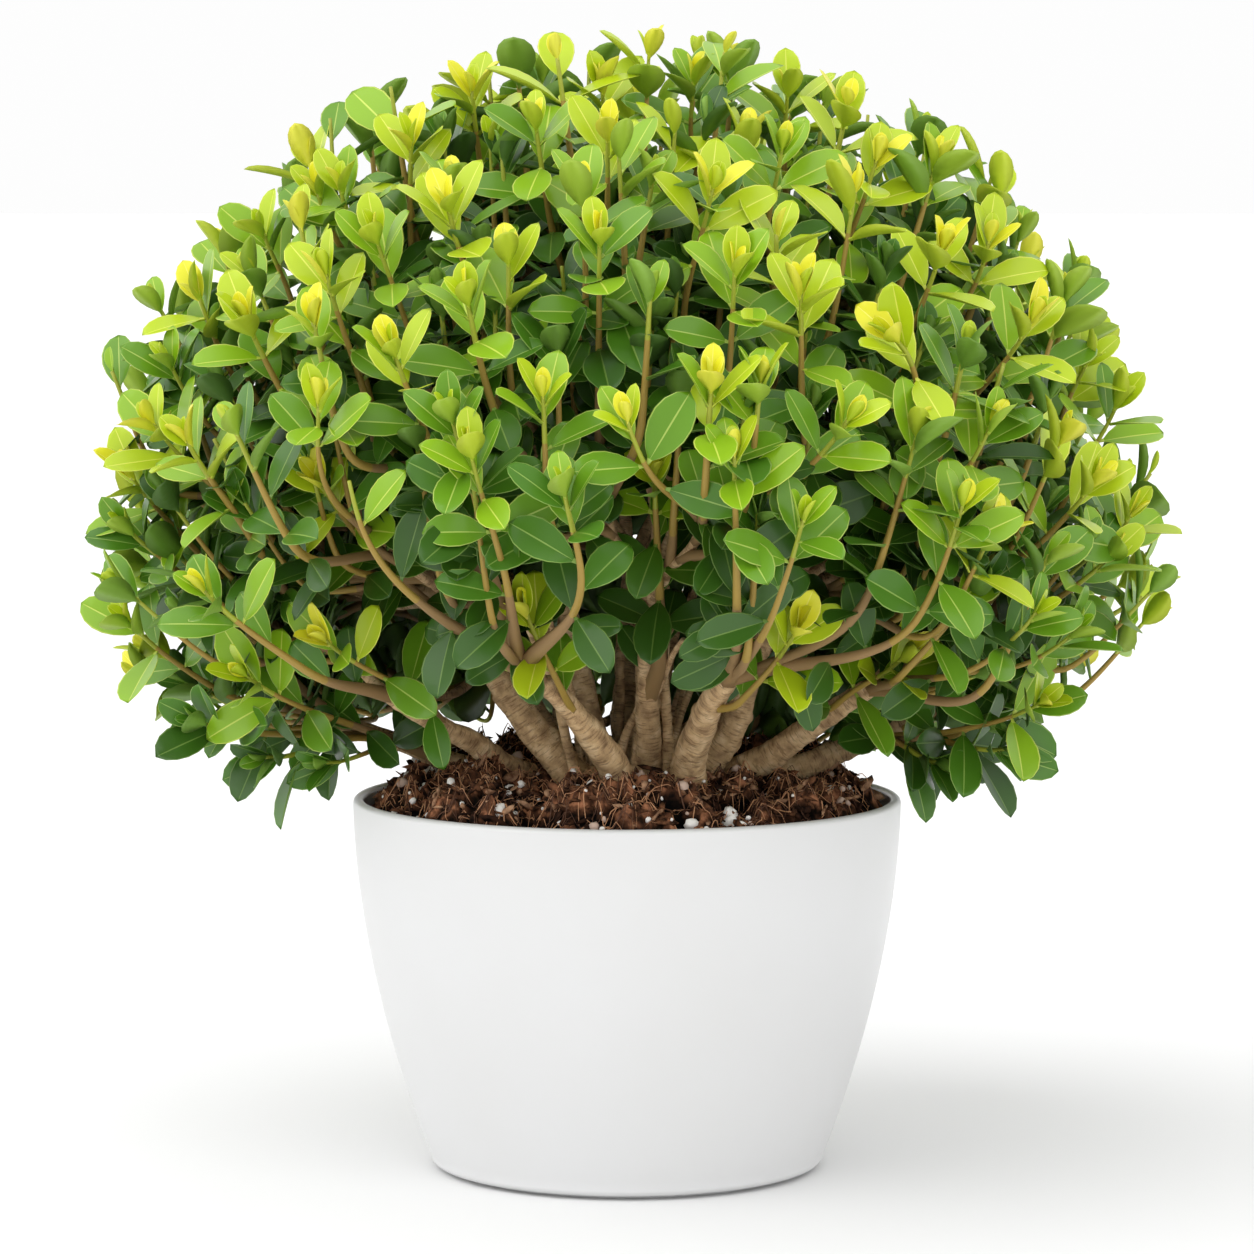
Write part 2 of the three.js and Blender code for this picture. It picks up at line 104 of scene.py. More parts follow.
def piece(name, points, triangles, looks, look_of=None):
    """A smooth-shaded mesh piece from points in millimetres, riding on the plant's one body. look_of
    gives each triangle the number of its material in looks."""
    mesh = bpy.data.meshes.new(name)
    mesh.vertices.add(len(points))
    mesh.vertices.foreach_set("co", (points * MM).astype(np.float32).ravel())
    mesh.loops.add(triangles.size)
    mesh.loops.foreach_set("vertex_index", triangles.astype(np.int32).ravel())
    mesh.polygons.add(len(triangles))
    mesh.polygons.foreach_set("loop_start", np.arange(0, triangles.size, 3, dtype=np.int32))
    mesh.polygons.foreach_set("use_smooth", np.ones(len(triangles), bool))
    for look in looks:
        mesh.materials.append(look)
    if look_of is not None:
        mesh.polygons.foreach_set("material_index", look_of.astype(np.int32))
    mesh.update(calc_edges=True)
    mesh.validate()
    made = bpy.data.objects.new(name, mesh)
    bpy.context.scene.collection.objects.link(made)
    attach(made, "root")
    return made


def material(name, colour, roughness, **settings):
    """A Principled material with plain values; settings name further sockets, with _ for a space."""
    look = bpy.data.materials.new(name)
    look.use_nodes = True
    shader = look.node_tree.nodes["Principled BSDF"]
    shader.inputs["Base Color"].default_value = colour
    shader.inputs["Roughness"].default_value = roughness
    for socket, value in settings.items():
        shader.inputs[socket.replace("_", " ")].default_value = value
    return look


def node(look, kind, inputs=None, **settings):
    """Adds a node to a material. inputs maps a socket's name or number to a value or to an output."""
    made = look.node_tree.nodes.new(kind)
    for key, value in settings.items():
        setattr(made, key, value)
    for socket, value in (inputs or {}).items():
        if isinstance(value, bpy.types.NodeSocket):
            look.node_tree.links.new(value, made.inputs[socket])
        else:
            made.inputs[socket].default_value = value
    return made


def ramp(look, factor, stops):
    """A colour ramp over factor, from (position, colour) pairs."""
    made = node(look, "ShaderNodeValToRGB", {"Fac": factor})
    made.color_ramp.elements[0].position, made.color_ramp.elements[0].color = stops[0]
    made.color_ramp.elements[1].position, made.color_ramp.elements[1].color = stops[-1]
    for position, colour in stops[1:-1]:
        made.color_ramp.elements.new(position).color = colour
    return made.outputs["Color"]


def wire(look, output, socket):
    """Links an output to the Principled shader's socket."""
    look.node_tree.links.new(output, look.node_tree.nodes["Principled BSDF"].inputs[socket])


def speckle(look, where, scale, detail):
    """Noise over the places where, from 0 to 1."""
    made = node(look, "ShaderNodeTexNoise", {"Vector": where, "Scale": scale, "Detail": detail})
    return made.outputs["Fac"]


def multiplied(look, share, under, over):
    """A colour multiplied by another, by a share."""
    made = node(look, "ShaderNodeMix", {0: share, 6: under, 7: over}, data_type="RGBA", blend_type="MULTIPLY")
    return made.outputs[2]


def roughen(look, height, strength, distance):
    """Bumps a material by a height, as far as a distance in metres."""
    bump = node(look, "ShaderNodeBump", {"Height": height, "Strength": strength, "Distance": distance})
    wire(look, bump.outputs["Normal"], "Normal")


pot_plastic = material("pot_plastic", POT_WHITE, 0.34, Coat_Weight=0.2, Coat_Roughness=0.25)
place = node(pot_plastic, "ShaderNodeTexCoord").outputs["Object"]
flow = speckle(pot_plastic, place, 14.0, 2.0)
dulled = [(0.3, (0.3, 0.3, 0.3, 1)), (0.7, (0.4, 0.4, 0.4, 1))]
tint = [(0.3, POT_WHITE), (0.75, (0.634, 0.634, 0.632, 1))]
wire(pot_plastic, ramp(pot_plastic, flow, dulled), "Roughness")
wire(pot_plastic, ramp(pot_plastic, flow, tint), "Base Color")
roughen(pot_plastic, speckle(pot_plastic, place, 900.0, 1.0), 0.05, 0.00005)


def pot_profile():
    """The pot's section from the middle of its underside, out and up the side, over the lip, which is
    half a circle, and down the inside to the middle of its floor."""
    turn_height = FOOT_HEIGHT + TURN_UNDER
    turn_centre = pot_radius(turn_height) - TURN_UNDER
    ring = FOOT_RADIUS - FOOT_RING
    foot = [(18, FOOT_HOLLOW), (ring - 0.8, FOOT_HOLLOW), (ring, 0.15), (ring + 0.6, 0)]
    foot += [(FOOT_RADIUS - 0.4, 0), (FOOT_RADIUS, 0.3), (FOOT_RADIUS, FOOT_HEIGHT - 0.2)]
    foot += [(FOOT_RADIUS + 0.3, FOOT_HEIGHT)]
    arc = np.linspace(0, np.pi / 2, 9)[:-1]
    turn = np.stack([turn_centre + TURN_UNDER * np.sin(arc), turn_height - TURN_UNDER * np.cos(arc)], 1)
    lip = POT_WALL / 2
    lip_height = POT_HEIGHT - lip
    heights = np.linspace(turn_height, lip_height, 44)
    side = np.stack([pot_radius(heights), heights], 1)
    arc = np.linspace(0, np.pi, 15)[1:]
    over = np.stack([pot_radius(lip_height) - lip + lip * np.cos(arc), lip_height + lip * np.sin(arc)], 1)
    heights = np.linspace(lip_height, POT_FLOOR, 24)[1:]
    inside = np.stack([pot_radius(heights) - POT_WALL, heights], 1)
    return np.concatenate([foot, turn, side, over, inside])


def turned(profile, sides):
    """Rings of a surface turned on the pot's axis: point (r, a) is at the profile's distance and height
    r, at angle a."""
    angle = np.arange(sides) * 2 * np.pi / sides
    out, height = profile[:, 0, None], profile[:, 1, None]
    return np.stack([out * np.cos(angle), out * np.sin(angle), height + 0 * angle], 2)


pot_rings = turned(pot_profile(), POT_SIDES)
pot_points = skins(pot_rings[None], np.array([[0, 0, FOOT_HOLLOW]]), np.array([[0, 0, POT_FLOOR]]))
pot = piece("pot_shell", *pot_points, [pot_plastic])
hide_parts("pot")

# ---------- The growing mix ----------
# A damp mix of composted bark, coir fibre and white perlite, heaped towards the stems and fallen away to
# just under the rim at the wall. The heap is one surface, with loose chips, fibres and grains on it.

SOIL_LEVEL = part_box("soil")[1].z / MM
SOIL_EDGE_LEVEL = 130.0
SOIL_PLATEAU_RADIUS = 66.0
SOIL_CLEARANCE = 0.7
SOIL_LUMPS = [(17.0, 5.5), (7.0, 4.6), (3.0, 3.2), (1.3, 1.3)]  # size and height of the lumps, coarse to fine
MOUNDS = [(-60, 32, 10.0), (62, 30, 8.5), (0, 66, 4.0)]  # where the heap stands higher, and by how much
MOUND_RADIUS = 26.0
SOIL_SIDES = 420
SOIL_ROWS = 120
RELIEF_SPAN = 5.5  # from the deepest hollows to the crests, of the finer lumps
MIX_REACH = 91.0  # how far out the loose bits lie
CHIPS = 2900
CHIP_GRID = (3, 5)  # rings and sides
SHADED_CHIP_RELIEF = 0.53  # below this the chips are the dark ones, as painted shade in the hollows
FIBRES = 2100
FIBRE_GRID = (8, 3)
GRAINS = 380
GRAIN_GRID = (5, 8)
chance = np.random.default_rng(7)


def lattice_value(cell, seed):
    """A repeatable number from 0 to 1 for each whole-numbered place in space, by mixing its bits."""
    x, y, z = (cell[..., i].astype(np.int64).astype(np.uint32) for i in range(3))
    h = x * np.uint32(374761393) + y * np.uint32(668265263) + z * np.uint32(2147483647)
    h = h + np.uint32(seed * 7919)
    h = (h ^ (h >> np.uint32(13))) * np.uint32(1274126177)
    h = (h ^ (h >> np.uint32(15))) * np.uint32(2246822519)
    return (h ^ (h >> np.uint32(16))).astype(float) / 4294967295


def noise(points, size, seed=0):
    """Smooth values from -1 to 1 in cells of the given size: the eight corners of each cell hold chance
    values, and a point between them takes their mean, weighted by 3t^2 - 2t^3 along each axis."""
    places = np.asarray(points, float) / size
    cell = np.floor(places)
    share = places - cell
    share = share * share * (3 - 2 * share)
    total = np.zeros(places.shape[:-1])
    for corner in np.ndindex(2, 2, 2):
        weight = np.prod(np.where(np.array(corner) == 1, share, 1 - share), axis=-1)
        total += weight * lattice_value(cell + corner, seed)
    return total * 2 - 1


def soil_lumps(x, y, first):
    """How far the lumps lift the heap at a place, from the first of the sizes on to the finest."""
    flat = np.stack([x, y, 0 * x], -1)
    rows = list(enumerate(SOIL_LUMPS))[first:]
    return sum(height * noise(flat, size, seed) for seed, (size, height) in rows)


def soil_relief(x, y):
    """How high a place lies among its own lumps: near 0 in a hollow and near 1 on a crest."""
    return 0.5 + soil_lumps(x, y, 1) / RELIEF_SPAN


def soil_height(x, y):
    """The heap's level: flat round the stems, a sine fall to the wall, and lumps of several sizes."""
    out = np.hypot(x, y)
    edge = pot_radius(SOIL_EDGE_LEVEL) - POT_WALL - SOIL_CLEARANCE
    share = np.clip((edge - out) / (edge - SOIL_PLATEAU_RADIUS), 0, 1)
    level = SOIL_EDGE_LEVEL + (SOIL_LEVEL - SOIL_EDGE_LEVEL) * np.sin(share * np.pi / 2)
    lumps = soil_lumps(x, y, 0)
    calm = np.clip((edge - out) / 8, 0.25, 1)
    for mound_x, mound_y, rise in MOUNDS:
        level = level + rise * calm * np.exp(-((x - mound_x) ** 2 + (y - mound_y) ** 2) / MOUND_RADIUS**2)
    return level - 1.0 + lumps * calm


def brown_look(name, stops, roughness, scale):
    """A rough brown material whose colour runs over a ramp by fine noise."""
    look = material(name, stops[0][1], roughness, Specular_IOR_Level=0.1)
    where = node(look, "ShaderNodeTexCoord").outputs["Object"]
    wire(look, ramp(look, speckle(look, where, scale, 4.0), stops), "Base Color")
    roughen(look, speckle(look, where, scale * 3, 3.0), 0.6, 0.0006)
    return look


soil_look = brown_look(
    "damp_mix",
    [(0.36, (0.008, 0.004, 0.002, 1)), (0.5, (0.07, 0.029, 0.015, 1)), (0.64, (0.26, 0.115, 0.06, 1))],
    0.9,
    220.0,
)
CHIP_COLOURS = {
    "dark": [(0.35, (0.006, 0.003, 0.002, 1)), (0.65, (0.05, 0.02, 0.011, 1))],
    "red": [(0.38, (0.016, 0.007, 0.004, 1)), (0.66, (0.19, 0.08, 0.038, 1))],
    "tan": [(0.35, (0.1, 0.042, 0.02, 1)), (0.65, (0.5, 0.29, 0.17, 1))],
}
chip_looks = [brown_look(f"bark_chip_{name}", stops, 0.8, 300.0) for name, stops in CHIP_COLOURS.items()]
fibre_looks = [
    material("coir_dark", (0.11, 0.045, 0.022, 1), 0.75),
    material("coir_red", (0.6, 0.3, 0.15, 1), 0.7),
]
perlite_looks = [
    material("perlite_white", (0.86, 0.83, 0.79, 1), 0.9),
    material("perlite_stained", (0.55, 0.4, 0.32, 1), 0.9),
]

# The heap: rings from the middle of the pot's floor out, up the wall, and over the lumpy top to the middle.
wall_heights = np.linspace(POT_FLOOR + 0.5, SOIL_EDGE_LEVEL - 3, 8)
wall = np.stack([pot_radius(wall_heights) - POT_WALL - SOIL_CLEARANCE, wall_heights], 1)
soil_sides = turned(wall, SOIL_SIDES)
top_out = np.linspace(pot_radius(SOIL_EDGE_LEVEL) - POT_WALL - SOIL_CLEARANCE, 1.0, SOIL_ROWS)
soil_top = turned(np.stack([top_out, 0 * top_out], 1), SOIL_SIDES)
soil_top[..., 2] = soil_height(soil_top[..., 0], soil_top[..., 1])
soil_rings = np.concatenate([soil_sides, soil_top])
middle = soil_height(np.zeros(1), np.zeros(1))[0]
soil_points = skins(soil_rings[None], np.array([[0, 0, POT_FLOOR + 0.5]]), np.array([[0, 0, middle]]))
soil = piece("mix_heap", *soil_points, [soil_look])
# Each point keeps how high it lies among the lumps; this drives the painted shade in the hollows.
relief = soil_relief(soil_points[0][:, 0], soil_points[0][:, 1])
hollow = soil.data.attributes.new("relief", "FLOAT", "POINT")
hollow.data.foreach_set("value", relief.astype(np.float32))

# Painted shade and painted light: the mix is darkened nearly to black in its hollows and painted paler on its
# crests, by how high each place lies among its lumps.
relief_at = node(soil_look, "ShaderNodeAttribute", attribute_name="relief").outputs["Fac"]
hollow_shade_stops = [(0.3, (0.02, 0.02, 0.02, 1)), (0.55, (0.4, 0.38, 0.36, 1)), (0.85, (1.4, 1.35, 1.3, 1))]
hollow_shade = ramp(soil_look, relief_at, hollow_shade_stops)
mix_colour = soil_look.node_tree.nodes["Principled BSDF"].inputs["Base Color"].links[0].from_socket
wire(soil_look, multiplied(soil_look, 1.0, mix_colour, hollow_shade), "Base Color")
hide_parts("soil")


def unit(vectors):
    """Vectors scaled to length 1 along their last axis."""
    return vectors / np.maximum(np.linalg.norm(vectors, axis=-1, keepdims=True), 1e-9)


def dot(a, b):
    """Dot products along the last axis, kept as an axis of length 1."""
    return (a * b).sum(-1, keepdims=True)


def scattered(count, reach):
    """Places strewn evenly over the heap, out to a radius, lying on its surface."""
    out = reach * np.sqrt(chance.random(count))
    angle = chance.random(count) * 2 * np.pi
    x, y = out * np.cos(angle), out * np.sin(angle)
    return np.stack([x, y, soil_height(x, y)], 1)


def pebbles(centres, half_sizes, rows, sides, rough):
    """Rough lumps: spheres cut into rings, stretched to their half sizes, roughened by chance, and
    turned about a chance axis."""
    count = len(centres)
    rise = np.linspace(-1, 1, rows + 2)
    angle = np.arange(sides) * 2 * np.pi / sides
    out = np.sqrt(1 - rise[1:-1] ** 2)[:, None]
    ball = np.stack([out * np.cos(angle), out * np.sin(angle), rise[1:-1, None] + 0 * angle], 2)
    rings = ball[None] * (1 + rough * (chance.random((count, rows, sides, 1)) - 0.5))
    poles = np.array([[0, 0, -1.0], [0, 0, 1.0]])[None] * np.ones((count, 2, 1))
    ends = unit(chance.normal(size=(count, 3)) * [1, 1, 0.5])
    first = unit(np.cross(ends, chance.normal(size=(count, 3))))
    turn = np.stack([first, np.cross(ends, first), ends], 2)

    def place(shape):
        turned_shape = np.einsum("nij,n...j->n...i", turn, shape)
        return turned_shape + centres.reshape((count,) + (1,) * (shape.ndim - 2) + (3,))

    stretch = half_sizes[:, None, :]
    rings = place(rings * stretch[:, None])
    poles = place(poles * stretch)
    return skins(rings, poles[:, 0], poles[:, 1])


def reel(paths, radii, sides):
    """Closed round tubes along paths, given as (tubes, stations, 3), of radius (tubes, stations). Each
    ring lies square to its path, and its first side is carried from ring to ring without twisting."""
    along = unit(np.gradient(paths, axis=1))
    side = np.empty_like(along)
    spare = np.where(np.abs(along[:, :1, 2:]) > 0.9, [1.0, 0, 0], [0, 0, 1.0])
    side[:, :1] = unit(np.cross(spare, along[:, :1]))
    for i in range(1, paths.shape[1]):
        side[:, i] = unit(side[:, i - 1] - along[:, i] * dot(side[:, i - 1], along[:, i]))
    third = np.cross(along, side)
    angle = np.arange(sides) * 2 * np.pi / sides
    ring = side[:, :, None] * np.cos(angle)[:, None] + third[:, :, None] * np.sin(angle)[:, None]
    rings = paths[:, :, None] + ring * radii[:, :, None, None]
    return rings, along, side, third


chip_places = scattered(CHIPS, MIX_REACH - 1)
chip_sizes = chance.uniform([0.4, 0.25, 1.0], [1.6, 0.8, 4.6], (CHIPS, 3))
chip_sizes = chip_sizes * chance.choice([0.6, 1, 1.3], (CHIPS, 1))
# Chips that lie low in the hollows take the darkest bark colour: painted shade.
chip_relief = soil_relief(chip_places[:, 0], chip_places[:, 1])
in_shaded_hollow = chip_relief + chance.normal(0, 0.1, CHIPS) < SHADED_CHIP_RELIEF
chip_kind = np.where(in_shaded_hollow, 0, chance.choice([1, 1, 2], CHIPS))
chips = piece(
    "bark_chips",
    *pebbles(chip_places + [0, 0, 0.5], chip_sizes, *CHIP_GRID, 0.7),
    chip_looks,
    np.repeat(chip_kind, skin_triangles(*CHIP_GRID)),
)

fibre_start = scattered(FIBRES, MIX_REACH - 3)
fibre_way = chance.random(FIBRES) * 2 * np.pi
fibre_length = chance.uniform(6, 19, FIBRES)
fibre_curl = chance.normal(0, 1.4, FIBRES)
share = np.linspace(0, 1, FIBRE_GRID[0])
heading = fibre_way[:, None] + fibre_curl[:, None] * share
steps = np.stack([np.cos(heading), np.sin(heading)], 2) * (fibre_length[:, None, None] / FIBRE_GRID[0])
fibre_flat = fibre_start[:, None, :2] + np.cumsum(steps, 1)
fibre_out = np.hypot(fibre_flat[..., 0], fibre_flat[..., 1])
fibre_flat *= np.minimum(1, MIX_REACH / np.maximum(fibre_out, 1))[..., None]
loop = np.sin(np.pi * share) * chance.uniform(0.3, 3.2, FIBRES)[:, None]
fibre_high = soil_height(fibre_flat[..., 0], fibre_flat[..., 1]) + 0.3 + loop
fibre_paths = np.concatenate([fibre_flat, fibre_high[..., None]], 2)
fibre_radii = chance.uniform(0.12, 0.34, FIBRES)[:, None] * (1 - 0.6 * share)
fibre_rings = reel(fibre_paths, fibre_radii, FIBRE_GRID[1])[0]
fibres = piece(
    "coir_fibres",
    *skins(fibre_rings, fibre_paths[:, 0], fibre_paths[:, -1]),
    fibre_looks,
    np.repeat(chance.choice(2, FIBRES, p=[0.45, 0.55]), skin_triangles(*FIBRE_GRID)),
)

grain_places = scattered(GRAINS, MIX_REACH)
grain_size = chance.choice([0.6, 1.1, 1.9, 2.7], GRAINS, p=[0.52, 0.27, 0.13, 0.08])
grain_sizes = grain_size[:, None] * chance.uniform(0.75, 1.3, (GRAINS, 3))
grains = piece(
    "perlite_grains",
    *pebbles(grain_places + [0, 0, 0.7], grain_sizes, *GRAIN_GRID, 0.3),
    perlite_looks,
    np.repeat(chance.choice(2, GRAINS, p=[0.75, 0.25]), skin_triangles(*GRAIN_GRID)),
)

# ---------- The stems ----------
# Seventeen grey-brown stems fan out of the root collar, flared where they leave the mix, and arch up to the
# mass of foliage that each one carries. Their bark is finely cracked across, with scars and small knobs.

HUB = np.array([0, 0, SOIL_LEVEL])
STEMS = [  # azimuth and elevation of the mass from the hub, where it stands, launch elevation, radius, reach
    ("low_1", 5, 10, (55, 5), 20, 5.2, 102),
    ("low_2", 55, 20, (24, 38), 42, 5.2, 100),
    ("low_3", 122, 20, (-24, 38), 42, 5.2, 100),
    ("low_4", 176, 10, (-53, 4), 22, 4.6, 102),
    ("low_5", 204, 20, (-36, -8), 27, 4.9, 100),
    ("low_6", 247, 27, (-1, -44), 62, 5.8, 100),
    ("low_7", 293, 26, (21, -38), 62, 6.6, 100),
    ("low_8", 338, 21, (39, -10), 38, 5.8, 100),
    ("mid_1", 27, 45, (26, 11), 55, 5.6, 92),
    ("mid_2", 89, 46, (0, 25), 55, 5.6, 92),
    ("mid_3", 151, 45, (-22, 14), 55, 5.6, 92),
    ("mid_4", 204, 45, (-16, -27), 43, 6.4, 92),
    ("mid_5", 277, 48, (8, -24), 70, 5.0, 92),
    ("mid_6", 330, 47, (25, -18), 56, 5.4, 92),
    ("top_1", 58, 75, (5, 8), 80, 5.0, 84),
    ("top_2", 178, 72, (-9, 0), 80, 5.0, 84),
    ("top_3", 302, 76, (6, -7), 80, 5.0, 84),
]
STEM_TAPER = 0.58
STEM_ARCH = 0.5
STEM_SIDES = 36
STEM_STATIONS = 120
STEM_SINK = 6.0  # how far a stem goes on down into the mix
SUCKERS = 16  # thin bare stems between the main ones
SUCKER_TURN = 137.5  # degrees from each one to the next
SUCKER_STATIONS = 60
BARK_GROUND = [(0.3, (0.33, 0.2, 0.095, 1)), (0.5, (0.58, 0.38, 0.19, 1)), (0.72, (0.8, 0.59, 0.34, 1))]


def direction(azimuth, elevation):
    """The unit vector at an azimuth and an elevation in degrees."""
    a, e = np.radians(azimuth), np.radians(elevation)
    return np.array([np.cos(a) * np.cos(e), np.sin(a) * np.cos(e), np.sin(e)])


def bezier(*corners):
    """The curve that a row of corner points pulls on, at shares of its length: repeated blending of
    each two neighbours. Corners are (curves, 3)."""

    def at(shares):
        level = [np.repeat(corner[:, None], len(shares), 1) for corner in corners]
        t = shares[None, :, None]
        while len(level) > 1:
            level = [a * (1 - t) + b * t for a, b in zip(level, level[1:])]
        return level[0]

    return at


stems = []
for label, azimuth, elevation, foot, launch, radius, reach in STEMS:
    axis = direction(azimuth, elevation)
    base = HUB + [*foot, 0]
    tip = HUB + axis * reach
    heading = np.degrees(np.arctan2(tip[1] - base[1], tip[0] - base[0]))
    bend = base + direction(heading, launch) * np.linalg.norm(tip - base) * STEM_ARCH
    stems.append(dict(label=label, axis=axis, base=base, bend=bend, tip=tip, radius=radius))


def bark_look():
    """Grey-brown bark with fine dark cracks across it and pale scuffs. The pattern lies in each stem's
    own straightened space, where z runs along the stem, so it follows every bend."""
    look = material("stem_bark", BARK_GROUND[1][1], 0.8)
    grain = node(look, "ShaderNodeAttribute", attribute_name="grain").outputs["Vector"]
    mapping = node(look, "ShaderNodeMapping", {"Vector": grain, "Scale": (0.22, 0.22, 1.3)})
    cracks = speckle(look, mapping.outputs["Vector"], 1.0, 4.0)
    ground = ramp(look, speckle(look, grain, 0.2, 5.0), BARK_GROUND)
    dark = ramp(look, cracks, [(0.37, (0.34, 0.27, 0.22, 1)), (0.47, (1, 1, 1, 1))])
    wire(look, multiplied(look, 0.6, ground, dark), "Base Color")
    height = node(look, "ShaderNodeMath", {0: cracks, 1: speckle(look, grain, 1.8, 5.0)}, operation="ADD")
    roughen(look, height.outputs[0], 0.8, 0.0005)
    return look


stem_bark = bark_look()


def run_along(paths):
    """How far along its path each station lies, for paths given as (paths, stations, 3)."""
    steps = np.linalg.norm(np.diff(paths, axis=1), axis=2)
    return np.concatenate([np.zeros((len(paths), 1)), np.cumsum(steps, 1)], 1)


def limb_rings(paths, radii, sides, seeds):
    """Rings of barked limbs and their points' places in straightened space. The radius swells and
    shrinks round the limb by coarse noise, with knobs where other noise peaks, and carries fine broken
    ridges across, given by noise squeezed along the limb."""
    rings, along, side, third = reel(paths, radii, sides)
    angle = np.arange(sides) * 2 * np.pi / sides
    around = [radii[..., None] * np.cos(angle), radii[..., None] * np.sin(angle)]
    straight = np.stack([*around, run_along(paths)[..., None] + 0 * angle], 3)
    straight = straight + np.asarray(seeds, float)[:, None, None, None] * 97.0
    swell = 0.11 * noise(straight, 9.0, 1) + 0.05 * noise(straight, 4.0, 2)
    knobs = 0.45 * np.clip(noise(straight, 5.5, 5) - 0.45, 0, 1)
    ridges = 0.03 * noise(straight * [0.4, 0.4, 1], 1.2, 3) + 0.03 * noise(straight, 1.6, 4)
    rings = paths[:, :, None] + (rings - paths[:, :, None]) * (1 + swell + knobs + ridges)[..., None]
    return rings, straight


def carry_grain(made, straight):
    """Stores each point's place in straightened space as the piece's attribute grain."""
    poles = np.stack([straight[:, 0].mean(1), straight[:, -1].mean(1)], 1)
    values = np.concatenate([straight.reshape(len(straight), -1, 3), poles], 1)
    grain = made.data.attributes.new("grain", "FLOAT_VECTOR", "POINT")
    grain.data.foreach_set("vector", values.astype(np.float32).ravel())


def wandering(paths, far, seed):
    """Paths swayed by smooth noise between their ends, by up to far."""
    sway = [noise(paths + seed + np.arange(len(paths))[:, None, None] * 50.0, 30, 20 + i) for i in range(3)]
    return paths + np.sin(np.pi * np.linspace(0, 1, paths.shape[1]))[None, :, None] * far * np.stack(sway, 2)


shares = np.linspace(0, 1, STEM_STATIONS)
stem_paths = bezier(*(np.array([s[key] for s in stems]) for key in ("base", "bend", "tip")))(shares)
stem_paths = wandering(stem_paths, 2.4, 0)
sunk = np.array([s["base"] - [0, 0, STEM_SINK] for s in stems])[:, None]
stem_paths = np.concatenate([sunk, stem_paths], 1)
shares = np.concatenate([[0], shares])
flare = 1 + 0.3 * np.exp(-shares / 0.07)
stem_radii = np.array([s["radius"] for s in stems])[:, None] * (1 - (1 - STEM_TAPER) * shares) * flare
stem_rings, stem_straight = limb_rings(stem_paths, stem_radii, STEM_SIDES, range(len(stems)))
for i, stem in enumerate(stems):
    one = slice(i, i + 1)
    made = piece(
        "bark_" + stem["label"], *skins(stem_rings[one], stem_paths[one, 0], stem_paths[one, -1]), [stem_bark]
    )
    carry_grain(made, stem_straight[one])
    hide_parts("stem_" + stem["label"])

# The suckers stand on rings about the hub and lean out less than the stems round them.
turn = np.arange(SUCKERS) * SUCKER_TURN
foot = np.stack([direction(a, 0) for a in turn]) * chance.uniform(12, 42, (SUCKERS, 1))
head = np.stack([direction(a + chance.normal(0, 25), 0) for a in turn])
head = head * chance.uniform(30, 74, (SUCKERS, 1))
head = HUB + head + [0, 0, 1] * chance.uniform(46, 74, (SUCKERS, 1))
foot = HUB + foot - [0, 0, STEM_SINK]
over_foot = foot * [1, 1, 0.5] + head * [0, 0, 0.5]
sucker_paths = bezier(foot, over_foot, head)(np.linspace(0, 1, SUCKER_STATIONS))
sucker_paths = wandering(sucker_paths, 4.0, 900)
sucker_radii = chance.uniform(1.1, 2.7, (SUCKERS, 1)) * np.linspace(1.1, 0.6, SUCKER_STATIONS)
sucker_rings, sucker_straight = limb_rings(sucker_paths, sucker_radii, 12, range(40, 40 + SUCKERS))
suckers = piece("suckers", *skins(sucker_rings, sucker_paths[:, 0], sucker_paths[:, -1]), [stem_bark])
carry_grain(suckers, sucker_straight)

# ---------- The crown's boughs, twigs and shoots ----------
# Each stem forks inside its mass of foliage into boughs, and each bough into shoots that curve up to the
# clipped outline. A shoot is brown where it leaves its bough, olive further out, and green at its tip.

CROWN_RADIUS = 199.0
CROWN_CENTRE = np.array([0, 0, 236.0])
CROWN_RISE = 180.0
CROWN_DROP = 104.0
CROWN_TOP_POWER = 2.0
CROWN_FOOT_POWER = 2.7
FRONT_LIFT = 54.0  # how much higher the crown's underside is at the front, where the stems show
FRONT_POWER = 4
BACK_LIFT = 22.0  # and behind
BACK_POWER = 2
OUTER_SHOOTS = 330
INNER_SHOOTS = 290
LOWEST_SHOOT = -0.72
SHOOTS_TO_A_BOUGH = 6
BOUGH_DEPTH = 74.0  # from the outline in to a bough's end
SHOOT_STATIONS = 30
BOUGH_STATIONS = 30
YOUNG_WOOD = 17.0  # how far back from its tip a shoot is green
NEW_WOOD = 60.0  # and olive
NEW_WOOD_RADIUS = 1.7  # thicker wood is brown
TIP_RADIUS = 0.72
THICKENING = 0.0135  # for each unit back from the tip
OLD_THICKENING = 0.022  # and more beyond the new wood
BOUGH_OVERLAP = 5.0  # how far inside its stem a bough starts
VIEWPOINT = np.array([0, -1808.0, 358.0])  # where the shrub's best side is seen from
OPEN_TO = [  # the crown is open in front of the stems below these heights, as seen on the plane y = 0: x, z
    (-150, 140), (-128, 158), (-100, 168), (-84, 184), (-60, 196), (-30, 201),
    (0, 203), (36, 203), (60, 196), (84, 182), (112, 166), (136, 156), (160, 140),
]
BARE_SHARE = 0.25  # a bough that lies in the opening by more than this share isn't grown
BOUGH_END_RADIUS = 1.7
SHOOT_RADIUS = 1.9  # at most, but for one that goes on from a stem
SPAN_STATIONS = 45  # on each half of a shoot's line
FIRST_STATION = 40  # shoots leave a stem beyond this station
LOW_STATIONS = 72  # and seldom before this one
LEADERS_DEEP = 21.0  # how far inside the outline the leading shoots end
LEADERS_APART = 22.0  # how far other tips keep from theirs
LEADERS_LEAN = 0.42  # how far they come forward, for each unit of their length that shows
LEADERS_FORWARD = 0.9  # how far one that goes on from a stem comes forward, for its length that shows
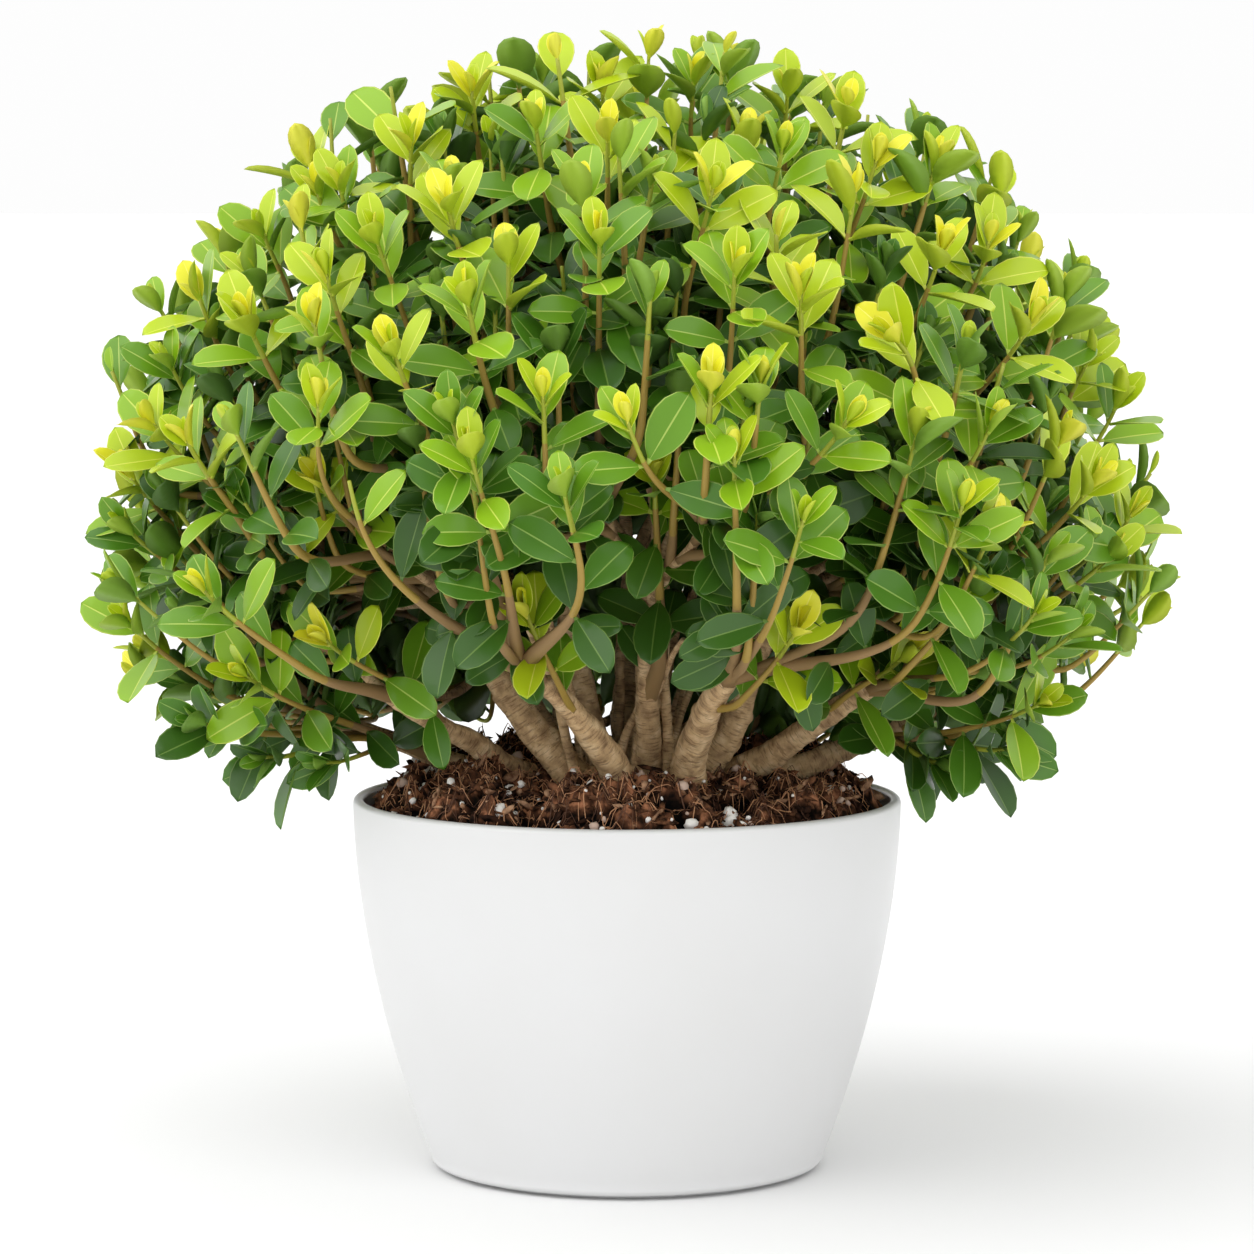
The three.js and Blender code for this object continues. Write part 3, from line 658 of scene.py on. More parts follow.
LEADERS_NEAREST = 14.0  # how far its foot is from the limb that bears it, at least
GOING_ON_GAP = 22.0  # and how far from a stem that it goes on from
BEND_COST = 170.0  # a bend where it leaves the limb counts like this much distance
GOING_ON_BEND_COST = 60.0
POOR_PLACE_COST = 100.0
STOUT_FADE = 26.0  # a shoot that goes on from a stem thins out over this length
SHADED_FLUSH = 3  # the flush of the shaded shoots: older, darker leaves, standing partly for their age and partly as painted shade; the leading ones of this flush hang
LEADERS = [  # tip x, z and foot x, z as seen on the plane y = 0, flush, and a stem that it goes on from
    (-155, 318, -143, 289, 0), (-138, 310, -120, 274, 0), (-166, 294, -151, 270, 2),
    (-160, 266, -141, 237, 0), (-172, 272, -155, 253, 0), (-181, 254, -159, 228, 0),
    (-132, 342, -122, 318, 1), (-109, 326, -95, 282, 0), (-112, 279, -112, 260, 1),
    (-112, 251, -72, 205, 0, "mid_4"), (-101, 251, -96, 233, 1), (-104, 358, -97, 335, 1),
    (-112, 356, -107, 342, 1), (-78, 374, -78, 336, 0), (-65, 351, -58, 327, 0), (-91, 340, -83, 317, 1),
    (-85, 299, -74, 271, 0), (-56, 392, -52, 358, 0), (-33, 380, -24, 329, 1), (-9, 393, -8, 380, 0),
    (-7, 377, -7, 356, 0), (-58, 317, -46, 271, 1), (-10, 339, -10, 266, 1), (24, 397, 23, 380, 1),
    (31, 357, 21, 315, 0), (58, 392, 57, 378, 0), (56, 371, 51, 344, 1), (90, 367, 79, 336, 0),
    (114, 335, 100, 297, 0), (96, 304, 101, 298, 0), (39, 328, 37, 291, 1), (63, 320, 64, 271, 0),
    (131, 338, 126, 322, 0), (147, 309, 130, 286, 0), (167, 295, 160, 280, 0), (178, 279, 166, 257, 1),
    (132, 271, 119, 248, 1), (170, 251, 156, 234, 0), (183, 239, 174, 222, 0), (122, 242, 106, 201, 1),
    (39, 260, 40, 208, 1), (80, 273, 70, 260, 1), (64, 237, 56, 210, 2), (62, 197, 41, 170, 0, "low_7"),
    (-64, 275, -60, 262, 2), (-57, 262, -46, 223, 1), (-23, 248, -17, 220, 2), (0, 273, 5, 260, 1),
    (10, 253, 12, 186, 1, "mid_5"), (-37, 204, -24, 175, 0, "low_6"), (-154, 211, -119, 183, 1),
    (-181, 233, -167, 221, 2), (-182, 200, -150, 175, 1), (-139, 180, -85, 156, 1, "low_4"),
    (-110, 193, -76, 172, 0, "low_5"), (176, 224, 150, 203, 1), (149, 203, 136, 189, 2),
    (151, 170, 100, 156, 1, "low_1"), (101, 187, 81, 173, 0, "low_8"), (163, 196, 151, 187, 2),
    (-156, 163, -110, 158, 3, "low_4"), (-132, 150, -100, 157, 3, "low_4"),
    (-110, 148, -84, 155, 3, "low_4"), (113, 148, 96, 157, 3, "low_1"), (138, 153, 104, 158, 3, "low_1"),
]
LEADING, OUTER, INNER = range(3)  # the kinds of shoots
grow = np.random.default_rng(23)

twig_looks = [
    material("twig_green", (0.33, 0.36, 0.03, 1), 0.5),
    material("twig_olive", (0.35, 0.23, 0.04, 1), 0.6),
    material("twig_brown", (0.28, 0.17, 0.065, 1), 0.75),
]


def crown_level(points, inset=0.0):
    """Under 1 inside the crown's outline, 1 on it and over 1 outside: the sum of the shares of the way
    out and the way up or down, each raised to a power."""
    up = points[..., 2] > CROWN_CENTRE[2]
    power = np.where(up, CROWN_TOP_POWER, CROWN_FOOT_POWER)
    out = np.hypot(points[..., 0], points[..., 1])
    back = points[..., 1] / np.maximum(out, 1)
    lift = FRONT_LIFT * np.maximum(0, -back) ** FRONT_POWER + BACK_LIFT * np.maximum(0, back) ** BACK_POWER
    half = np.where(up, CROWN_RISE, CROWN_DROP - lift) - inset
    rise = np.abs(points[..., 2] - CROWN_CENTRE[2])
    return (out / (CROWN_RADIUS - inset)) ** power + (rise / half) ** power


def on_outline(start, ways):
    """Where rays from a start leave the crown, found by halving the way 30 times."""
    near = np.zeros(len(ways))
    far = np.full(len(ways), CROWN_RADIUS + CROWN_RISE)
    for _ in range(30):
        middle = (near + far) / 2
        inside = crown_level(start + ways * middle[:, None]) < 1
        near, far = np.where(inside, middle, near), np.where(inside, far, middle)
    return start + ways * near[:, None]


def seen(points):
    """Where points appear on the plane y = 0 from the viewpoint: their x and z there."""
    share = VIEWPOINT[1] / (VIEWPOINT[1] - points[..., 1])
    across = VIEWPOINT[0] + (points[..., 0] - VIEWPOINT[0]) * share
    return across, VIEWPOINT[2] + (points[..., 2] - VIEWPOINT[2]) * share


def in_opening(points, margin):
    """True for places in front of the stems that the crown leaves open, within a margin above it."""
    across, level = seen(points)
    return (points[..., 1] < 30) & (level < np.interp(across, *np.transpose(OPEN_TO)) + margin)


def crown_directions(count, turn):
    """Even directions over the crown by the golden angle, from straight up down to LOWEST_SHOOT."""
    golden = np.pi * (3 - np.sqrt(5))
    i = np.arange(count)
    z = 1 - (1 - LOWEST_SHOOT) * (i + 0.5) / count
    out = np.sqrt(1 - z * z)
    return np.stack([out * np.cos(golden * i + turn), out * np.sin(golden * i + turn), z], 1)


def strewn_tips(count, turn, spread):
    """Places on the crown's outline in even directions, each shifted a little by chance."""
    ways = crown_directions(count, turn) + grow.normal(0, spread, (count, 3))
    return on_outline(CROWN_CENTRE, unit(ways))


# The leading shoots of the front: each tip lies where the line of sight meets the crown, or passes it most
# closely, and its foot lies behind it by a share of the length that shows. One that goes on from a stem
# has its foot at that stem instead, and comes forward from there.
leader_tips, leader_feet = [], []
number_of = {stem["label"]: m for m, stem in enumerate(stems)}
steps = np.linspace(0.84, 1.04, 600)[:, None]  # shares of the way from the viewpoint to that plane


def on_sight(x, z, y):
    """The point at a depth y that is seen at x and z on the plane y = 0."""
    sight = np.array([x, 0, z]) - VIEWPOINT
    return VIEWPOINT + sight * (y - VIEWPOINT[1]) / sight[1]


for x, z, foot_x, foot_z, *rest in LEADERS:
    shown = np.hypot(x - foot_x, z - foot_z)
    if rest[-1] in number_of:
        path = stem_paths[number_of[rest[-1]], FIRST_STATION:]
        path_x, path_z = seen(path)
        beside = np.argmin(np.hypot(path_x - foot_x, path_z - foot_z))
        foot_y = path[beside, 1] - stem_radii[number_of[rest[-1]], FIRST_STATION + beside] - 4
        tip_y = foot_y - LEADERS_FORWARD * shown
    else:
        sight = VIEWPOINT + (np.array([x, 0, z]) - VIEWPOINT) * steps
        level = crown_level(sight, LEADERS_DEEP)
        met = np.flatnonzero(level < 1)
        tip_y = sight[met[0] if len(met) else np.argmin(level), 1]
        foot_y = tip_y + LEADERS_LEAN * shown
    leader_tips.append(on_sight(x, z, tip_y))
    leader_feet.append(on_sight(foot_x, foot_z, foot_y))
leader_tips, leader_feet = np.array(leader_tips), np.array(leader_feet)

outer = strewn_tips(OUTER_SHOOTS, 0.0, 0.035)
inner = strewn_tips(INNER_SHOOTS, 1.0, 0.05)
outer_inset = grow.uniform(2, 16, OUTER_SHOOTS) + np.where(outer[:, 1] < -50, 14, 0)
outer = outer - unit(outer - HUB) * outer_inset[:, None]
inner = inner - unit(inner - HUB) * grow.uniform(28, 64, INNER_SHOOTS)[:, None]
apart = np.linalg.norm(outer[:, None] - leader_tips[None], axis=2).min(1)
outer = outer[(apart > LEADERS_APART) & ~in_opening(outer, 10)]
inner = inner[~in_opening(inner, 4)]
tips = np.concatenate([leader_tips, outer, inner])
kind = np.repeat([LEADING, OUTER, INNER], [len(leader_tips), len(outer), len(inner)])
owner = np.argmax(unit(tips - HUB) @ np.array([s["axis"] for s in stems]).T, 1)


def grouped(points, count):
    """Numbers each point by its group: seeds far apart, then means moved six times."""
    seeds = [points[0]]
    for _ in range(count - 1):
        gap = np.min([np.linalg.norm(points - seed, axis=1) for seed in seeds], 0)
        seeds.append(points[np.argmax(gap)])
    means = np.array(seeds)
    for _ in range(6):
        group = np.argmin(np.linalg.norm(points[:, None] - means[None], axis=2), 1)
        held = [points[group == g] for g in range(count)]
        means = np.array([some.mean(0) if len(some) else mean for some, mean in zip(held, means)])
    return group, means


def tip_way(tip):
    """The way that a shoot grows at its tip: outwards from the hub and up, most upright at the front and
    behind, and least under the crown's shoulder."""
    rise = np.clip((tip[2] - 165) / 120, 0, 1)
    facing = (tip[1] / max(np.hypot(tip[0], tip[1]), 1)) ** 2
    return unit(unit(tip - HUB) + [0, 0, (0.1 + 0.75 * rise) * (1 + 0.9 * facing)] + grow.normal(0, 0.12, 3))


def flowing(points, ways, shares):
    """Cubic curves through rows of points (curves, knots, 3) that leave each along its way."""
    spans = []
    for a in range(points.shape[1] - 1):
        start, end = points[:, a, None], points[:, a + 1, None]
        size = np.linalg.norm(end - start, axis=2, keepdims=True)
        t = shares[None, :, None]
        spans.append(
            (2 * t**3 - 3 * t**2 + 1) * start
            + (t**3 - 2 * t**2 + t) * size * ways[:, a, None]
            + (3 * t**2 - 2 * t**3) * end
            + (t**3 - t**2) * size * ways[:, a + 1, None]
        )
    return np.concatenate(spans[:1] + [span[:, 1:] for span in spans[1:]], 1)


boughs = []
shoots = []
for m, stem in enumerate(stems):
    mine = np.flatnonzero(owner == m)
    count = max(2, round(len(mine) / SHOOTS_TO_A_BOUGH))
    group, means = grouped(tips[mine], count)
    for g in range(count):
        ends = mine[group == g]
        if not len(ends):
            continue
        out = unit(means[g] - HUB)
        fork = means[g] - out * BOUGH_DEPTH
        length = np.linalg.norm(fork - stem["tip"])
        start = stem["tip"] - stem["axis"] * BOUGH_OVERLAP
        going_on = start + stem["axis"] * (BOUGH_OVERLAP + 0.4 * length)
        corners = [start, going_on, fork - out * 0.35 * length, fork + out * 8]
        bough = bezier(*(c[None] for c in corners))(np.linspace(0, 1, BOUGH_STATIONS))[0]
        bare = in_opening(bough, -4).mean() > BARE_SHARE
        if not bare:
            boughs.append(dict(mass=m, path=bough, thick=stem["radius"] * STEM_TAPER * 0.9))
        order = np.argsort(np.linalg.norm(tips[ends] - fork, axis=1))
        for rank, end in enumerate(ends[order]):
            if kind[end] == LEADING:
                continue
            t = 0.5 + 0.5 * (rank + 1) / len(ends)
            row = min(int(t * (BOUGH_STATIONS - 1)), BOUGH_STATIONS - 2)
            root = stem_paths[m, -3 - rank] if bare else bough[row]
            away = tips[end] - root
            length = np.linalg.norm(away)
            last_way = tip_way(tips[end])
            foot = tips[end] - last_way * 0.48 * length
            foot_way = unit(last_way + 0.35 * away / length)
            leaving = stem["axis"] if bare else unit(bough[row + 1] - bough[row])
            first_way = unit(leaving * 0.6 + (foot - root) / length)
            ways = [first_way, foot_way, last_way]
            knots = [root, foot, tips[end]]
            shoot = dict(mass=m, knots=knots, ways=ways, kind=kind[end], number=end)
            shoot.update(thick=SHOOT_RADIUS, stout=0)
            shoot.update(bough=-1 if bare else len(boughs) - 1, share=row / (BOUGH_STATIONS - 1))
            shoots.append(shoot)

# A leading shoot comes off the nearest bough or stem that lies behind its foot, and goes on from it in line.
# Its foot stands a little way off the limb, and on a stem it leaves from the upper part.
stations = np.arange(FIRST_STATION, STEM_STATIONS + 1, 4)
on_boughs = len(boughs) * BOUGH_STATIONS
limb_points = [b["path"] for b in boughs] + list(stem_paths[:, stations])
limb_mass = np.repeat([b["mass"] for b in boughs] + list(range(len(stems))), [len(p) for p in limb_points])
limb_radii = np.concatenate([np.full(on_boughs, SHOOT_RADIUS), stem_radii[:, stations].ravel()])
limb_ways = unit(np.concatenate([np.gradient(p, axis=0) for p in limb_points]))
low_on_stem = np.concatenate([np.zeros(on_boughs, bool), np.tile(stations < LOW_STATIONS, len(stems))])
limb_points = np.concatenate(limb_points)
for i, (*_, last) in enumerate(LEADERS):
    foot, tip = leader_feet[i], leader_tips[i]
    foot_way = unit(tip - foot)
    behind = foot - limb_points
    far = np.linalg.norm(behind, axis=1)
    bent = 1 - unit(behind) @ foot_way
    poor_place = (far < LEADERS_NEAREST) | low_on_stem
    cost = 0.9 * far + BEND_COST * bent + np.where(poor_place, POOR_PLACE_COST, 0)
    if last in number_of:
        on_stem = (limb_mass == number_of[last]) & (np.arange(len(limb_mass)) >= on_boughs)
        cost = np.where(on_stem, np.abs(far - GOING_ON_GAP) + GOING_ON_BEND_COST * bent, np.inf)
    best = np.argmin(cost)
    chord = behind[best] / far[best]
    first_way = unit(limb_ways[best] * 0.35 + chord)
    knots = [limb_points[best], foot, tip]
    ways = [first_way, unit(foot_way + 0.3 * chord), unit(foot_way + [0, 0, 0.25])]
    stout = 0.5 * limb_radii[best] if last in number_of else 0
    thick = max(limb_radii[best], SHOOT_RADIUS)
    shoot = dict(mass=limb_mass[best], knots=knots, ways=ways, kind=LEADING, number=i)
    shoot.update(thick=thick, stout=stout)
    on_bough = best // BOUGH_STATIONS if best < on_boughs else -1
    shoot.update(bough=on_bough, share=best % BOUGH_STATIONS / (BOUGH_STATIONS - 1))
    shoots.append(shoot)


def of_shoots(key):
    """One value of every shoot, as an array."""
    return np.array([shoot[key] for shoot in shoots])


knots, ways = of_shoots("knots"), of_shoots("ways")
fine = flowing(knots, ways, np.linspace(0, 1, SPAN_STATIONS))
run = run_along(fine)
shoot_length = run[:, -1]


def back_from_tip(back):
    """Points at distances back from each shoot's tip, given as (shoots, places)."""
    wanted = shoot_length[:, None] - back
    made = np.empty(back.shape + (3,))
    for i in range(len(shoots)):
        for axis in range(3):
            made[i, :, axis] = np.interp(wanted[i], run[i], fine[i, :, axis])
    return made


back = shoot_length[:, None] * (1 - np.linspace(0, 1, SHOOT_STATIONS) ** 0.9)
shoot_paths = back_from_tip(back)
vigour = grow.uniform(0.88, 1.12, (len(shoots), 1))
limit = of_shoots("thick")[:, None]
shoot_radii = TIP_RADIUS + THICKENING * back + OLD_THICKENING * np.maximum(back - NEW_WOOD, 0)
stout = of_shoots("stout")[:, None] * np.exp(-(shoot_length[:, None] - back) / STOUT_FADE)
shoot_radii = np.maximum(np.clip(shoot_radii * vigour, 0.6, limit), stout)
shoot_mass = of_shoots("mass")
shoot_kind = of_shoots("kind")
shoot_rings = reel(shoot_paths, shoot_radii, 6)[0]
is_new = (back < NEW_WOOD) & (shoot_radii < NEW_WOOD_RADIUS)
wood_age = np.where(back < YOUNG_WOOD, 0, np.where(is_new, 1, 2))[:, :-1]

# ---------- The shoots' skins and their leaves ----------
# Small leathery leaves in opposite pairs, each pair crosswise to the next: narrow at the stalk, widest just
# past the middle and pointed, with a pale midrib and a fine pale rim. New ones are yellow and upright.

LEAF_LENGTH = 27.0
LEAF_WIDTH = 0.5  # of its length
STALK = 0.09  # of its length
STALK_RADIUS = 0.5
PAIR_BACK = np.array([1.0, 3.5, 8.5, 17, 30, 44, 58, 72, 86, 100, 115])  # each pair's distance from the tip
PAIR_SIZE = np.array([0.4, 0.66, 0.9, 1.02, 1.0, 0.97, 0.93, 0.9, 0.86, 0.82, 0.8])
PAIR_LEAN = np.array([10, 24, 36, 50, 60, 66, 70, 73, 76, 78, 80])
DROOP = np.array([4, 22, 42, 50, 40, 32, 26, 22, 20, 18, 18])  # how much further one on the lit side leans
LEAFY_SHARE = 0.9  # of a shoot, from its tip
LEAFY_LENGTH = 120.0  # at most
OLDER_CHANCE = 0.25  # of a leaf that is a step older than its pair
TO_THE_FRONT = 0.8  # how much the leading shoots' leaves turn to the front
LEAF_STATIONS = np.array([0.03, 0.1, 0.2, 0.34, 0.5, 0.66, 0.81, 0.93])
RIM = 0.93  # where a leaf's pale rim starts, of its half width
RIB = 0.04  # half the midrib's width, of the half width
LIMB_CLEARANCE = 1.0
SIGHT_WIDTH = 3.6  # half the width kept clear in front of a leading shoot
GOING_ON_WIDTH = (5.0, 12.0)  # and in front of one that goes on from a stem, at its foot and its tip
OUTER_LEVEL = 1.03  # the crown level that leaves may reach
HANGING_LEVEL = 1.5  # and those of the leading shoots
LEAST_KEPT = 0.5  # a shoot that has lost more of its leaves than this share is left out

LEAF_COLOURS = [  # blade, midrib and rim, underside, from the newest leaves to the oldest
    [(0.74, 0.71, 0.025, 1), (0.82, 0.78, 0.12, 1), (0.7, 0.68, 0.05, 1)],
    [(0.42, 0.55, 0.01, 1), (0.65, 0.71, 0.09, 1), (0.49, 0.59, 0.03, 1)],
    [(0.22, 0.4, 0.008, 1), (0.49, 0.6, 0.08, 1), (0.32, 0.47, 0.035, 1)],
    [(0.115, 0.265, 0.008, 1), (0.35, 0.48, 0.08, 1), (0.21, 0.37, 0.04, 1)],
    [(0.06, 0.175, 0.008, 1), (0.22, 0.36, 0.06, 1), (0.14, 0.27, 0.03, 1)],
    [(0.031, 0.096, 0.006, 1), (0.11, 0.2, 0.03, 1), (0.075, 0.16, 0.025, 1)],
]
GLOSS = dict(Coat_Weight=0.2, Coat_Roughness=0.2, Specular_IOR_Level=0.3)
leaf_looks = []
for age, (blade, rib, underside) in enumerate(LEAF_COLOURS):
    leaf_looks.append(material(f"leaf_{age}_blade", blade, 0.38, **GLOSS))
    leaf_looks.append(material(f"leaf_{age}_rib", rib, 0.42))
    leaf_looks.append(material(f"leaf_{age}_underside", underside, 0.55))
AGES_ON_A_SHOOT = np.array(  # leaf ages by pair, for shoots in full flush, half flushed, ripe and shaded, the last darker partly as painted shade
    [
        [0, 0, 1, 1, 2, 3, 4, 4, 5, 5, 5],
        [0, 1, 2, 2, 3, 4, 4, 5, 5, 5, 5],
        [1, 2, 3, 3, 4, 4, 5, 5, 5, 5, 5],
        [3, 4, 4, 4, 5, 5, 5, 5, 5, 5, 5],
    ]
)


def leaf_half_width(share):
    """A blade's half width, 1 at its widest: x^0.85 (1 - x)^0.62 over its greatest value."""
    x = np.clip((share - STALK * 0.8) / (1 - STALK * 0.8), 0, 1)
    widest = 0.85 / 1.47
    return x**0.85 * (1 - x) ** 0.62 / (widest**0.85 * (1 - widest) ** 0.62)


def leaf_skins(root, way, face, length, bend, fold, width):
    """Leaves as closed skins. Round each ring of a leaf run its right edge, rim, midrib, left rim and
    edge on top, and the ridge underneath. The blade bows back by bend x share^2 and its halves rise from
    the midrib by fold."""
    side = np.cross(face, way)
    share = LEAF_STATIONS[None, :]
    half = length[:, None] * LEAF_WIDTH / 2 * width[:, None] * leaf_half_width(share)
    half = np.maximum(half, STALK_RADIUS)
    stalk = share < STALK
    across = np.array([1, RIM, RIB, -RIB, -RIM, -1, 0.0])
    thick = np.where(stalk, 2 * STALK_RADIUS, 0.25 + 0.75 * (1 - share)) * np.ones_like(half)
    lift = np.abs(across)[None, None] ** 1.3 * half[:, :, None] * fold[:, None, None]
    lift = lift - np.array([0.12, 0, 0.1, 0.1, 0, 0.12, 0])[None, None]
    lift = lift - thick[:, :, None] * np.array([0, 0, 0, 0, 0, 0, 1.0])[None, None]
    lift = lift - (bend * length)[:, None, None] * share[:, :, None] ** 2
    ahead = length[:, None] * share * np.ones_like(half)
    rings = (
        root[:, None, None]
        + way[:, None, None] * ahead[:, :, None, None]
        + side[:, None, None] * (half[:, :, None] * across)[..., None]
        + face[:, None, None] * lift[..., None]
    )
    tip = root + way * length[:, None] - face * (bend * length + 0.15)[:, None]
    return skins(rings, root, tip)


pairs = len(PAIR_BACK)
shoot_count = len(shoots)
pair_back = PAIR_BACK[None] * grow.uniform(0.9, 1.12, (shoot_count, 1))
pair_root = back_from_tip(pair_back)
along = unit(back_from_tip(pair_back - 2.0) - back_from_tip(pair_back + 2.0))
side_a = unit(np.cross(along, unit(grow.normal(size=(shoot_count, 1, 3)))))
side_b = np.cross(along, side_a)
light = unit(unit((pair_root - HUB) * [1, 1, 0.6]) + [0, 0, 0.3])  # each leaf turns to the open side
light = light + grow.normal(0, 0.25, (shoot_count, 1, 3))
light[shoot_kind == LEADING] += [0, -TO_THE_FRONT, 0]
light = unit(light)
light_across = unit(light - along * dot(light, along))
spin = np.arctan2(dot(light_across, side_b), dot(light_across, side_a))[..., 0]
spin = spin + np.arange(pairs)[None] * np.pi / 2 + grow.choice([0, np.pi / 2], (shoot_count, 1))
spin = spin + grow.normal(0, 0.22, (shoot_count, 1)) + grow.normal(0, 0.16, spin.shape)
kept = pair_back < np.minimum(shoot_length * LEAFY_SHARE, LEAFY_LENGTH)[:, None]
# The inner shoots, deep in the crown, bear the older, darker leaves of the shaded flush: their age, and
# painted shade.
flush = np.where(shoot_kind == INNER, SHADED_FLUSH, grow.choice(3, shoot_count, p=[0.24, 0.36, 0.4]))
leads = np.flatnonzero(shoot_kind == LEADING)
flush[leads] = [LEADERS[shoots[i]["number"]][4] for i in leads]
young = np.clip(1.15 - pair_back / 26, 0, 1)[..., None]  # 1 at the tip and 0 from the fifth pair on

root, way, face, length, age, bearer = [], [], [], [], [], []
for half_turn in (0, np.pi):
    turn = (spin + half_turn)[..., None]
    out = side_a * np.cos(turn) + side_b * np.sin(turn)
    lit = dot(out, light)
    facing_light = lit[..., 0]
    lean = PAIR_LEAN - 8 * np.maximum(-facing_light, 0) + DROOP * np.maximum(facing_light, 0) ** 1.5
    lean = lean + grow.normal(0, 7, spin.shape)
    lean = np.radians(lean)[..., None]
    ahead = along * np.cos(lean) + out * np.sin(lean)
    ahead = ahead - light * dot(ahead, light) * (0.45 * (1 - young))
    ahead = unit(ahead + grow.normal(0, 0.07, out.shape))
    inward = along * np.sin(lean) - out * np.cos(lean)
    up = inward * (0.35 + 0.65 * young) + light * (1.1 - 0.6 * young) + grow.normal(0, 0.17, out.shape)
    up = unit(up - ahead * dot(up, ahead))
    root.append(pair_root[kept])
    way.append(ahead[kept])
    face.append(up[kept])
    sized = PAIR_SIZE[None] * LEAF_LENGTH * grow.uniform(0.86, 1.1, spin.shape)
    length.append(sized[kept])
    older = (grow.random(spin.shape) < OLDER_CHANCE).astype(int)
    age.append(np.clip(AGES_ON_A_SHOOT[flush] + older, 0, 5)[kept])
    bearer.append(np.repeat(np.arange(shoot_count)[:, None], pairs, 1)[kept])
root, way, face, length, age, bearer = map(np.concatenate, (root, way, face, length, age, bearer))
leading = shoot_kind[bearer] == LEADING

# A leaf that would leave the crown, or touch the pot, the mix or a stem, is left out. The leading shoots may
# hang a little below the crown's underside.
middle = root + way * (length * 0.6)[:, None]
edge = np.cross(face, way) * (length * LEAF_WIDTH / 2)[:, None]
probes = np.stack([root + way * length[:, None], middle, middle + edge, middle - edge], 1)
probe_out = np.hypot(probes[..., 0], probes[..., 1])
in_crown = (crown_level(probes) < np.where(leading, HANGING_LEVEL, OUTER_LEVEL)[:, None]).all(1)
over_pot = ((probe_out > RIM_RADIUS + 3) | (probes[..., 2] > SOIL_LEVEL + 6)).all(1)
clear = np.ones(len(root), bool)
for path, radius in zip(stem_paths[:, ::6], stem_radii[:, ::6]):
    gap = np.linalg.norm(probes[:, :, None] - path[None, None], axis=3) - radius
    clear &= gap.min((1, 2)) > LIMB_CLEARANCE
good = in_crown & over_pot & clear

# Nothing but its own leaves hangs in front of a leading shoot, or in front of the stems on the shown side.
leader_lines = fine[shoot_kind == LEADING][:, SPAN_STATIONS - 1 : -8]
front_stems = stem_paths[stem_paths[:, 0, 1] < 10][:, ::5]
lines = np.concatenate([leader_lines.reshape(-1, 3), front_stems.reshape(-1, 3)])
line_x, line_z = seen(lines)
hides = in_opening(probes, 0).any(1)
spots = np.stack([root + way * (length * share)[:, None] for share in (0.35, 0.65, 0.95)], 1)
spot_x, spot_z = seen(spots)
for k in range(3):
    away = np.hypot(spot_x[:, k, None] - line_x, spot_z[:, k, None] - line_z)
    hides |= ((away < SIGHT_WIDTH) & (spots[:, k, 1, None] < lines[:, 1] - 3)).any(1)
ahead_of = np.zeros(len(root), bool)  # in front of a shoot that goes on from one of the front stems
hanging = (shoot_kind == LEADING) & (flush == SHADED_FLUSH)
going_on_widths = np.linspace(*GOING_ON_WIDTH, SPAN_STATIONS)
goes_on = (shoot_kind == LEADING) & (of_shoots("stout") > 0) & ~hanging
for i in np.flatnonzero(goes_on):
    line = fine[i, SPAN_STATIONS - 1 :]
    line_x, line_z = seen(line)
    away = np.hypot(spot_x[..., None] - line_x, spot_z[..., None] - line_z)
    over = (away < going_on_widths) & (spots[..., 1, None] < line[:, 1] - 2)
    ahead_of |= over.any((1, 2)) & (bearer != i) & ~hanging[bearer]
good &= np.where(leading, ~ahead_of, ~hides & ~ahead_of)

# A shoot that has lost most of its leaves is left out with the rest of them.
grown = np.bincount(bearer, minlength=shoot_count)
left = np.bincount(bearer[good], minlength=shoot_count)
lives = (left > LEAST_KEPT * grown) | (shoot_kind == LEADING)
good &= lives[bearer]
root, way, face, length, age, bearer = (a[good] for a in (root, way, face, length, age, bearer))
mass = shoot_mass[bearer]
bend = grow.uniform(0.02, 0.16, len(root))
fold = grow.uniform(0.1, 0.42, len(root))
width = grow.uniform(0.88, 1.12, len(root))

rows, sides = len(LEAF_STATIONS), 7
column_part = np.array([1, 0, 1, 0, 1, 2, 2])  # rim, blade, midrib, blade, rim, and the two undersides
row_part = np.repeat(column_part[None], rows - 1, 0)
row_part[0] = 1
leaf_part = np.concatenate([row_part.ravel(), row_part.ravel(), np.ones(sides, int), column_part])

# A bough ends where its last shoot leaves it, and one that bears none is left out.
shoot_bough = of_shoots("bough")
shoot_share = of_shoots("share")
bough_share = np.linspace(0, 1, BOUGH_STATIONS)
bough_paths, bough_radii, bough_mass = [], [], []
for b, bough in enumerate(boughs):
    borne = shoot_share[(shoot_bough == b) & lives]
    if not len(borne):
        continue
    cut = bough_share * borne.max()
    cut_path = [np.interp(cut, bough_share, bough["path"][:, axis]) for axis in range(3)]
    bough_paths.append(np.stack(cut_path, 1))
    bough_radii.append(bough["thick"] + (BOUGH_END_RADIUS - bough["thick"]) * bough_share**0.5)
    bough_mass.append(bough["mass"])
bough_paths, bough_radii, bough_mass = map(np.array, (bough_paths, bough_radii, bough_mass))
bough_rings, bough_straight = limb_rings(bough_paths, bough_radii, 9, range(100, 100 + len(bough_mass)))

